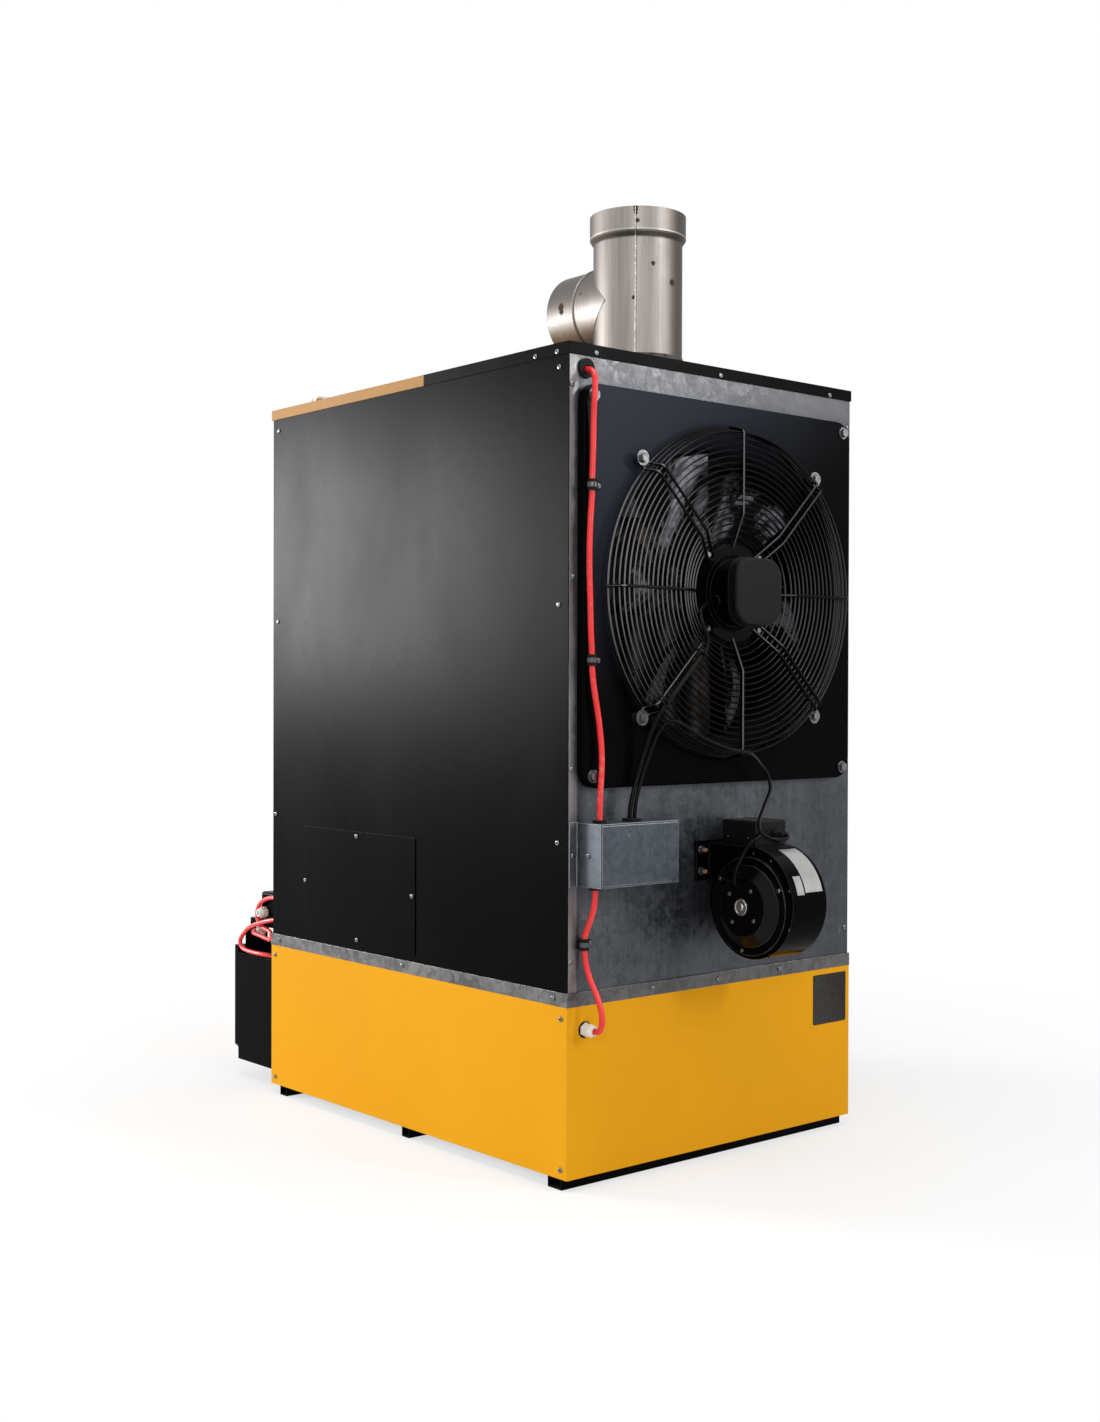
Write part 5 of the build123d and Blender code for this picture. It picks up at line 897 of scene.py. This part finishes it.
def cross_head():
    """A domed screw head with a cross recess, drawn about +Z in metres."""
    made = bmesh.new()
    rings = []
    for radius, height in HEAD_PROFILE:
        ring = []
        for k in range(HEAD_STEPS):
            angle = 2 * math.pi * k / HEAD_STEPS
            ring.append(made.verts.new((radius * math.cos(angle), radius * math.sin(angle), height)))
        rings.append(ring)
    for lower, lit_top in zip(rings, rings[1:]):
        for k in range(HEAD_STEPS):
            after = (k + 1) % HEAD_STEPS
            made.faces.new((lower[k], lower[after], lit_top[after], lit_top[k]))
    made.faces.new(tuple(reversed(rings[0])))
    arm, half = RECESS_ARM, RECESS_HALF
    plus = ((arm, -half), (arm, half), (half, half), (half, arm), (-half, arm), (-half, half),
            (-arm, half), (-arm, -half), (-half, -half), (-half, -arm), (half, -arm), (half, -half))
    top = HEAD_PROFILE[-1][1]
    mouth = [made.verts.new((x, y, top)) for x, y in plus]
    deep = top - RECESS_DEPTH
    floor = [made.verts.new((RECESS_TAPER * x, RECESS_TAPER * y, deep)) for x, y in plus]
    count = len(plus)
    edges = [made.edges.new((mouth[k], mouth[(k + 1) % count])) for k in range(count)]
    edges += [made.edges.get((rings[-1][k], rings[-1][(k + 1) % HEAD_STEPS])) for k in range(HEAD_STEPS)]
    bmesh.ops.triangle_fill(made, use_beauty=True, edges=edges)
    for k in range(count):
        after = (k + 1) % count
        made.faces.new((mouth[k], mouth[after], floor[after], floor[k]))
    made.faces.new(floor)
    bmesh.ops.recalc_face_normals(made, faces=made.faces)
    made.verts.index_update()
    vertices = [tuple(MM * c for c in v.co) for v in made.verts]
    faces = [tuple(v.index for v in face.verts) for face in made.faces]
    made.free()
    return vertices, faces


def screw_sites():
    """Every casing screw: point on the sheet, in millimetres, and outward direction."""
    sites = []
    for pairs, x in ((SIDE_PANEL_SCREWS, PANEL_SIDE), (COVER_SIDE_SCREWS, COVER_SIDE),
                     (TRIM_SIDE_SCREWS, TRIM_SIDE), (BASE_SIDE_SCREWS, BASE_SIDE)):
        for y, z in pairs:
            sites.append(((x, y, z), (1, 0, 0)))
            sites.append(((-x, y, z), (-1, 0, 0)))
    for y, z in HATCH_SCREWS:
        sites.append(((HATCH_SIDE, y, z), (1, 0, 0)))
    for pairs, y in ((COVER_REAR_SCREWS, COVER_REAR), (REAR_PANEL_SCREWS, PANEL_REAR),
                     (PANEL_SEAM_SCREWS, PANEL_SEAM), (TRIM_END_SCREWS, TRIM_REAR)):
        for x, z in pairs:
            sites.append(((x, y, z), (0, 1, 0)))
    for pairs, y in ((TRIM_END_SCREWS, TRIM_FRONT), (FRONT_PANEL_SCREWS, PANEL_FRONT),
                     (OUTLET_SCREWS, OUTLET_FRONT)):
        for x, z in pairs:
            sites.append(((x, y, z), (0, -1, 0)))
    return sites


def fit_casing_screws():
    """Domed screws with a cross recess over every casing screw, each turned as it was driven."""
    template = cross_head()
    parts = []
    for number, (at, out) in enumerate(screw_sites()):
        parts.append(placed(template, in_metres(at), out, turn=0.7 * number))
    screws = fitting("casing_screw_heads", parts, SCREW_ZINC)
    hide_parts("casing_screws")


# Blower

SCREW_PROFILE = ((0.0034, 0.0), (0.0034, 0.0012), (0.0030, 0.0021), (0.0019, 0.0026), (0.0006, 0.0027))
RIM_SCREW_PROFILE = ((0.0030, 0.0), (0.0030, 0.0010), (0.0024, 0.0018), (0.0006, 0.0021))
BOSS_PROFILE = ((0.0130, 0.0), (0.0130, 0.0004), (0.0124, 0.0010), (0.0106, 0.0010), (0.0100, 0.0002),
                (0.0058, 0.0002), (0.0050, 0.0012), (0.0040, 0.0016), (0.0008, 0.0017))
BOSS_X = 50.0

# Screws round the motor's axis: distance from it, X of the face, and turns in degrees
INNER_SCREWS = (31.8, 47.0, (145, 54, -129, -38))
OUTER_SCREWS = (70.5, 33.0, (147, 25, -100))
RIM_SCREWS = (82.0, 25.0, (62, 21, -21, -63, -149, 174, 88))
TERMINAL_SCREWS = ((14.0, 452.0, 518.0), (14.0, 495.0, 518.0))

# Labels on the drum: from and to in X, and from and to in degrees round it
LARGE_LABEL = (-45, -6, 14, 71)
SMALL_LABEL = (-3, 13, 12, 32)
LABEL_STEPS = 14
LABEL_LIFT = 0.0003

# Stud ends past the flange's nuts, and their thread
STUD_PLACES = tuple((x, 428.4, z) for x in (-75.0, 43.0) for z in (462.0, 496.0))
THREAD_ROOT = 0.0030
THREAD_CREST = 0.00325
HALF_PITCH = 0.0004
THREAD_TURNS = 9
STUD_LENGTH = 0.0079
STUD_CHAMFER_R = 0.0024


def blower_face_point(radius, degrees, x):
    """A point on the motor cover, by its distance from the motor's axis, its turn and its X."""
    angle = math.radians(degrees)
    y, z = MOTOR_AXIS
    return (x * MM, y + radius * MM * math.cos(angle), z + radius * MM * math.sin(angle))


def screw_circle(circle, profile):
    """Turned screw heads on a circle round the motor's axis."""
    radius, x, places = circle
    return [turned(blower_face_point(radius, place, x), (1, 0, 0), profile, 16) for place in places]


def drum_patch(x0, x1, low, high):
    """A thin blank sheet wrapped round the blower's drum, between two angles in degrees."""
    y, z = BLOWER_AXIS
    steps = LABEL_STEPS
    vertices = []
    for radius in (DRUM_R, DRUM_R + LABEL_LIFT):
        for x in (x0, x1):
            for k in range(steps + 1):
                angle = math.radians(low + (high - low) * k / steps)
                vertices.append((x * MM, y + radius * math.cos(angle), z + radius * math.sin(angle)))
    row = steps + 1
    faces = []
    for k in range(steps):
        faces.append((2 * row + k, 3 * row + k, 3 * row + k + 1, 2 * row + k + 1))
        faces.append((k, k + 1, row + k + 1, row + k))
        faces.append((k, 2 * row + k, 2 * row + k + 1, k + 1))
        faces.append((row + k, row + k + 1, 3 * row + k + 1, 3 * row + k))
    faces.append((0, row, 3 * row, 2 * row))
    faces.append((steps, 2 * row + steps, 3 * row + steps, row + steps))
    return vertices, faces


def stud_profile():
    """A threaded end as rings of root and crest, with a small chamfer."""
    profile = [(THREAD_ROOT, 0.0)]
    for turn in range(THREAD_TURNS):
        crest_at = (2 * turn + 1) * HALF_PITCH
        profile += [(THREAD_CREST, crest_at), (THREAD_ROOT, crest_at + HALF_PITCH)]
    return profile + [(STUD_CHAMFER_R, STUD_LENGTH)]


def fit_blower():
    """The blower's bare labels, its turned boss, its stud ends and all its screws."""
    fitting("blower_label", [drum_patch(*LARGE_LABEL)], LABEL)
    fitting("blower_small_label", [drum_patch(*SMALL_LABEL)], LABEL)
    boss = turned(blower_face_point(0, 0, BOSS_X), (1, 0, 0), BOSS_PROFILE, 48)
    fitting("blower_boss_ring", [boss], ALUMINIUM)
    bright = screw_circle(INNER_SCREWS, SCREW_PROFILE) + screw_circle(OUTER_SCREWS, SCREW_PROFILE)
    fitting("blower_screws", bright, ZINC)
    dark = screw_circle(RIM_SCREWS, RIM_SCREW_PROFILE)
    dark += [turned(in_metres(at), (1, 0, 0), RIM_SCREW_PROFILE, 16) for at in TERMINAL_SCREWS]
    fitting("blower_dark_screws", dark, GUARD_ENAMEL)
    studs = [turned(in_metres(at), (0, 1, 0), stud_profile(), 16) for at in STUD_PLACES]
    fitting("blower_stud_ends", studs, COPPER)


# Bare plates, seals, seams and ties

PLATE_WIDTH = 0.084
PLATE_HEIGHT = 0.0845
PLATE_CORNER = 0.003
PLATE_STEPS = ((0.0, 0.0), (0.0, 0.0005), (0.0003, 0.0008), (0.0022, 0.0008), (0.0026, 0.0005))
SEAL_PROFILE = ((0.0090, 0.0), (0.0122, 0.0), (0.0127, 0.0006), (0.0122, 0.0012), (0.0090, 0.0012))


def fit_rating_plate():
    """The blank dark plate on the base, with an embossed rim."""
    stack = []
    for inset, lift in PLATE_STEPS:
        outline = rounded_outline(PLATE_WIDTH - 2 * inset, PLATE_HEIGHT - 2 * inset, PLATE_CORNER)
        stack.append((outline, lift))
    plate = placed(layered(stack), RATING_PLATE_AT, (0, 1, 0))
    fitting("rating_plate", [plate], DARK_PLATE)


def fit_gland_seal():
    """The rubber ring under the white gland in the base."""
    fitting("gland_seal", [turned(GLAND_AT, (0, 1, 0), SEAL_PROFILE, 40)], RUBBER)


# The seam up the flue: radius and height of its line, and the edges and lift of the strips beside it, a
# bright one for a painted highlight and a dark one for a painted shadow
SEAM_LINE = ((FLUE_R, FLUE_FOOT), (FLUE_R, FLUE_SHOULDER), (SOCKET_R, FLUE_SHOULDER + 0.009),
             (SOCKET_R, FLUE_RIM))
SEAM_SUNK = -0.0004
SEAM_HIGHLIGHT = (-0.0017, 0.0001, 0.0005)
SEAM_SHADOW = (0.0001, 0.0013, 0.0002)
WELD_R = 0.0011
WELD_POINTS = 72
WELD_RIPPLE = 0.004


def seam_strip(low, high, lift):
    """A thin raised strip up the flue, between two distances round it from the seam."""
    bevel = 0.2 * (high - low)
    section = ((low, SEAM_SUNK), (low + bevel, lift), (high - bevel, lift), (high, SEAM_SUNK))
    x, y = FLUE_AXIS
    vertices = []
    for radius, z in SEAM_LINE:
        for side, rise in section:
            angle = SEAM_TURN + side / radius
            reach = radius + rise
            vertices.append((x + reach * math.cos(angle), y + reach * math.sin(angle), z))
    faces = []
    for row in range(len(SEAM_LINE) - 1):
        for k in range(4 * row, 4 * row + 3):
            faces.append((k, k + 1, k + 5, k + 4))
    return vertices, faces


def branch_weld_route():
    """Points round the joint of flue and branch, in millimetres, slightly rippled."""
    route = []
    for k in range(WELD_POINTS + 1):
        angle = 2 * math.pi * k / WELD_POINTS
        x = BRANCH_R * math.cos(angle)
        reach = math.sqrt(max(FLUE_R * FLUE_R - x * x, 0.0))
        ripple = 1.0 + WELD_RIPPLE * math.sin(9 * angle)
        point = (x * ripple, FLUE_AXIS[1] - reach, BRANCH_Z + BRANCH_R * math.sin(angle) * ripple)
        route.append([v / MM for v in point])
    return route


def fit_flue_seam():
    """The folded seam up the flue, as a bright strip of painted highlight beside a dark strip of painted
    shadow, and the weld round its branch.
    """
    fitting("flue_seam_highlight", [seam_strip(*SEAM_HIGHLIGHT)], ALUMINIUM)
    fitting("flue_seam_shadow", [seam_strip(*SEAM_SHADOW)], DARK_PLATE)
    weld = spline_curve("branch_weld", branch_weld_route(), WELD_R, STAINLESS)
    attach(weld, ROOT)


# Clips: X, Y and height of the cable, and Y of the sheet behind, in millimetres
CLIPS = ((293.0, 440.0, 1053.0, 433.0), (292.5, 440.0, 793.0, 433.0), (294.6, 427.0, 369.0, 418.0))
CLIP_SCREW_X = 280.0
CLIP_TONGUE_ASIDE = 12.0
CLIP_TONGUE_LIFT = 2.2
CLIP_TONGUE_SIZE = (0.0165, 0.0078, 0.0038)
CLIP_SCREW_LIFT = 0.9
CLIP_BORE = 0.0048

# Their linings and bands: radius, half length in millimetres, and inset of the edge
CLIP_LINING = (0.0078, 8.4, 0.0006)
CLIP_BAND = (0.0084, 3.6, 0.0003)


def clip_loop(x, y, z, wall, radius, half, inset):
    """A band round the cable at a clip, flat where it lies on the sheet behind."""
    long = 2 * half * MM
    profile = ((CLIP_BORE, 0.0), (radius - inset, 0.0), (radius, inset), (radius, long - inset),
               (radius - inset, long), (CLIP_BORE, long))
    vertices, faces = turned(in_metres((x, y, z - half)), (0, 0, 1), profile, 40)
    sheet = (wall + 0.1) * MM
    return [Vector((v.x, max(v.y, sheet), v.z)) for v in vertices], faces


def fit_clips():
    """Rubber-lined zinc clips on the red cables, each with its screw."""
    end = rounded_outline(*CLIP_TONGUE_SIZE)
    tongue = layered([(end, -0.0004), (end, 0.0010)])
    head = cross_head()
    linings = []
    bands = []
    screws = []
    for x, y, z, wall in CLIPS:
        seat = wall + CLIP_TONGUE_LIFT
        linings.append(clip_loop(x, y, z, wall, *CLIP_LINING))
        bands.append(clip_loop(x, y, z, wall, *CLIP_BAND))
        bands.append(placed(tongue, in_metres((x - CLIP_TONGUE_ASIDE, seat, z)), (0, 1, 0)))
        screw_at = in_metres((CLIP_SCREW_X, seat + CLIP_SCREW_LIFT, z))
        screws.append(placed(head, screw_at, (0, 1, 0), 0.4))
    fitting("clip_linings", linings, RUBBER)
    fitting("clip_bands", bands, CLIP_ZINC)
    fitting("clip_screws", screws, SCREW_ZINC)


# The junction box's outline and face, its lid's smaller size, and its side screw, in millimetres
JUNCTION_X = (142.0, 303.0)
JUNCTION_Z = (456.0, 551.0)
JUNCTION_FACE = 472.0
JUNCTION_LID_GAP = 5.0
JUNCTION_SCREW = (303.0, 445.0, 503.0)


def fit_junction_lid():
    """The thin lid on the junction box, a little smaller than the box, and the screw in its side."""
    width, height = ((high - low - JUNCTION_LID_GAP) * MM for low, high in (JUNCTION_X, JUNCTION_Z))
    middle = in_metres((sum(JUNCTION_X) / 2, JUNCTION_FACE, sum(JUNCTION_Z) / 2))
    outline = rounded_outline(width, height, 0.001)
    face = rounded_outline(width - 0.0010, height - 0.0010, 0.0006)
    lid = layered([(outline, -0.0002), (outline, 0.0005), (face, 0.0010)])
    fitting("junction_lid", [placed(lid, middle, (0, 1, 0))], BOX_ZINC)
    screw = placed(cross_head(), in_metres(JUNCTION_SCREW), (1, 0, 0), 0.5)
    fitting("junction_side_screw", [screw], SCREW_ZINC)


# Cable ties, in millimetres: X and height of each, then the sizes of cable, wire and band
TIES = ((100.0, 805.0), (180.0, 732.0))
TIE_Y = 480.0
TIE_CABLE_R = 3.9
TIE_WIRE_R = 2.9
TIE_WIRE_ACROSS = 5.9
TIE_WIRE_DEPTH = 8.4
TIE_HALF_WIDTH = 1.8
TIE_THICKNESS = 0.9
TIE_STEPS = 24


def tie_band(middle, aside, along):
    """A flat band laid round the cable and a wire of the guard behind it."""
    loop = []
    for k in range(TIE_STEPS):
        angle = 2 * math.pi * k / TIE_STEPS
        reach = TIE_CABLE_R
        centre = Vector()
        if math.cos(angle) > 0.0:
            centre = aside * TIE_WIRE_ACROSS
            if math.sin(angle) < 0.0:
                centre -= Vector((0.0, TIE_WIRE_DEPTH, 0.0))
                reach = TIE_WIRE_R
        loop.append((centre, aside * math.cos(angle) + Vector((0.0, math.sin(angle), 0.0)), reach))
    vertices = []
    for offset, lift in ((-TIE_HALF_WIDTH, 0.0), (-TIE_HALF_WIDTH, TIE_THICKNESS),
                         (TIE_HALF_WIDTH, TIE_THICKNESS), (TIE_HALF_WIDTH, 0.0)):
        for centre, ray, reach in loop:
            vertices.append(middle + (centre + ray * (reach + lift) + along * offset) * MM)
    faces = []
    for row in range(4):
        low = TIE_STEPS * row
        high = TIE_STEPS * ((row + 1) % 4)
        for k in range(TIE_STEPS):
            after = (k + 1) % TIE_STEPS
            faces.append((low + k, low + after, high + after, high + k))
    return vertices, faces


def fit_cable_ties():
    """Two ties that hold the fan cable to a wire of the guard."""
    aside = Vector((1.0, 0.0, 1.0)).normalized()
    along = Vector((1.0, 0.0, -1.0)).normalized()
    body = rounded_outline(0.0052, 0.0048, 0.0008)
    top = rounded_outline(0.0044, 0.0040, 0.0006)
    head = layered([(body, 0.0), (body, 0.0034), (top, 0.0040)])
    parts = []
    for x, z in TIES:
        middle = Vector(in_metres((x, TIE_Y, z)))
        parts.append(tie_band(middle, aside, along))
        parts.append(placed(head, middle + Vector((0.0, 0.0044, 0.0)), (0, 1, 0), math.radians(45)))
    fitting("cable_ties", parts, BLACK_PLASTIC)


# The selector's scale: its turns in degrees, and its sizes in metres
SCALE_HALF_TURN = 60
TICK_STEP = 15
SCALE_R = 0.0195
TICK_WIDTH = 0.0007
TICK_LIFT = 0.0002
LONG_TICK = 0.0036
SHORT_TICK = 0.0022


def scale_tick(degrees, long):
    """A thin raised bar on the control box, that points away from the selector."""
    angle = math.radians(degrees)
    x, y, z = KNOB
    at = (x + SCALE_R * math.sin(angle), y, z + SCALE_R * math.cos(angle))
    half, reach = TICK_WIDTH / 2, long / 2
    box = [(-half, -reach), (half, -reach), (half, reach), (-half, reach)]
    return placed(layered([(box, -0.0001), (box, TICK_LIFT)]), at, (0, -1, 0), angle)


def fit_selector_scale():
    """The plain scale round the selector, longer at its ends and middle."""
    ticks = []
    for degrees in range(-SCALE_HALF_TURN, SCALE_HALF_TURN + 1, TICK_STEP):
        ticks.append(scale_tick(degrees, LONG_TICK if degrees % SCALE_HALF_TURN == 0 else SHORT_TICK))
    fitting("selector_scale", ticks, WHITE_MARK)


# Floor, backdrop and lamps

# Name, place, what it lights, size and watts of each lamp
LAMPS = (
    ("side_softbox", (2.9, -4.2, 1.38), (0.3, -0.2, 0.9), (1.6, 1.1), 262.0),
    ("rear_softbox", (-1.35, 4.1, 3.1), (0.0, 0.4, 0.8), (0.6, 1.2), 60.0),
    ("plate_softbox", (-3.2, 4.1, 2.3), (0.0, 0.42, 1.0), (0.4, 1.0), 42.0),
    ("front_softbox", (2.9, 3.1, 1.9), (0.2, 0.3, 0.9), (0.5, 1.0), 28.0),
    ("top_softbox", (0.6, 0.6, 4.2), (0.0, 0.0, 0.8), (2.5, 2.5), 80.0),
)
FLOOR_HALF = 9


def seen_by_camera(g):
    """One where the camera looks, straight, in a mirror or through glass."""
    rays = g.add("ShaderNodeLightPath").outputs
    seen = g.maths("ADD", rays["Is Camera Ray"], rays["Is Glossy Ray"], clamp=True)
    return g.maths("ADD", seen, rays["Is Transmission Ray"], clamp=True)


def floor_material():
    """Pale floor: near white to the camera, with the heater's shadow left in it."""
    material, g, shader = finish_named("Pale floor")
    tone = g.noise(g.place(), 1.5, 3.0)
    g.wire(shader["Base Color"], g.mix(tone, (0.78, 0.78, 0.78), (0.84, 0.84, 0.84)))
    g.wire(shader["Roughness"], 0.85)
    surface = material.node_tree.nodes["Principled BSDF"].outputs[0]
    glow = g.add("ShaderNodeEmission", {"Color": (1.0, 1.0, 1.0), "Strength": 1.0}).outputs[0]
    away = g.add("ShaderNodeVectorMath", {0: g.place()}, operation="LENGTH").outputs["Value"]
    white = g.remap(away, 0.75, 1.9, 0.62, 1.0, smooth=True)
    glowing = g.maths("MULTIPLY", seen_by_camera(g), white)
    both = g.add("ShaderNodeMixShader", {0: glowing, 1: surface, 2: glow}).outputs[0]
    g.wire(material.node_tree.nodes["Material Output"].inputs["Surface"], both)
    return material


def light_world():
    """An even pale surround that the camera sees as white."""
    world = bpy.data.worlds.new("Studio")
    bpy.context.scene.world = world
    world.use_nodes = True
    world.node_tree.nodes.clear()
    g = Graph(world.node_tree)
    fill = g.add("ShaderNodeBackground", {"Color": (1.0, 1.0, 1.0), "Strength": 0.42}).outputs[0]
    white = g.add("ShaderNodeBackground", {"Color": (1.0, 1.0, 1.0), "Strength": 1.0}).outputs[0]
    both = g.add("ShaderNodeMixShader", {0: seen_by_camera(g), 1: fill, 2: white}).outputs[0]
    g.add("ShaderNodeOutputWorld", {"Surface": both})


def build_studio():
    """The floor, the pale surround and the lamps."""
    far = FLOOR_HALF
    corners = [(-far, -far, 0), (far, -far, 0), (far, far, 0), (-far, far, 0)]
    plain_mesh("studio_floor", corners, [(0, 1, 2, 3)], floor_material())
    light_world()
    for lamp in LAMPS:
        softbox(*lamp)


def main():
    bpy.context.scene.view_settings.view_transform = "Standard"
    place_camera()
    build_studio()
    dress_cad_nodes()
    lay_cords()
    fit_casing_screws()
    fit_blower()
    fit_rating_plate()
    fit_gland_seal()
    fit_flue_seam()
    fit_clips()
    fit_junction_lid()
    fit_cable_ties()
    fit_selector_scale()


main()
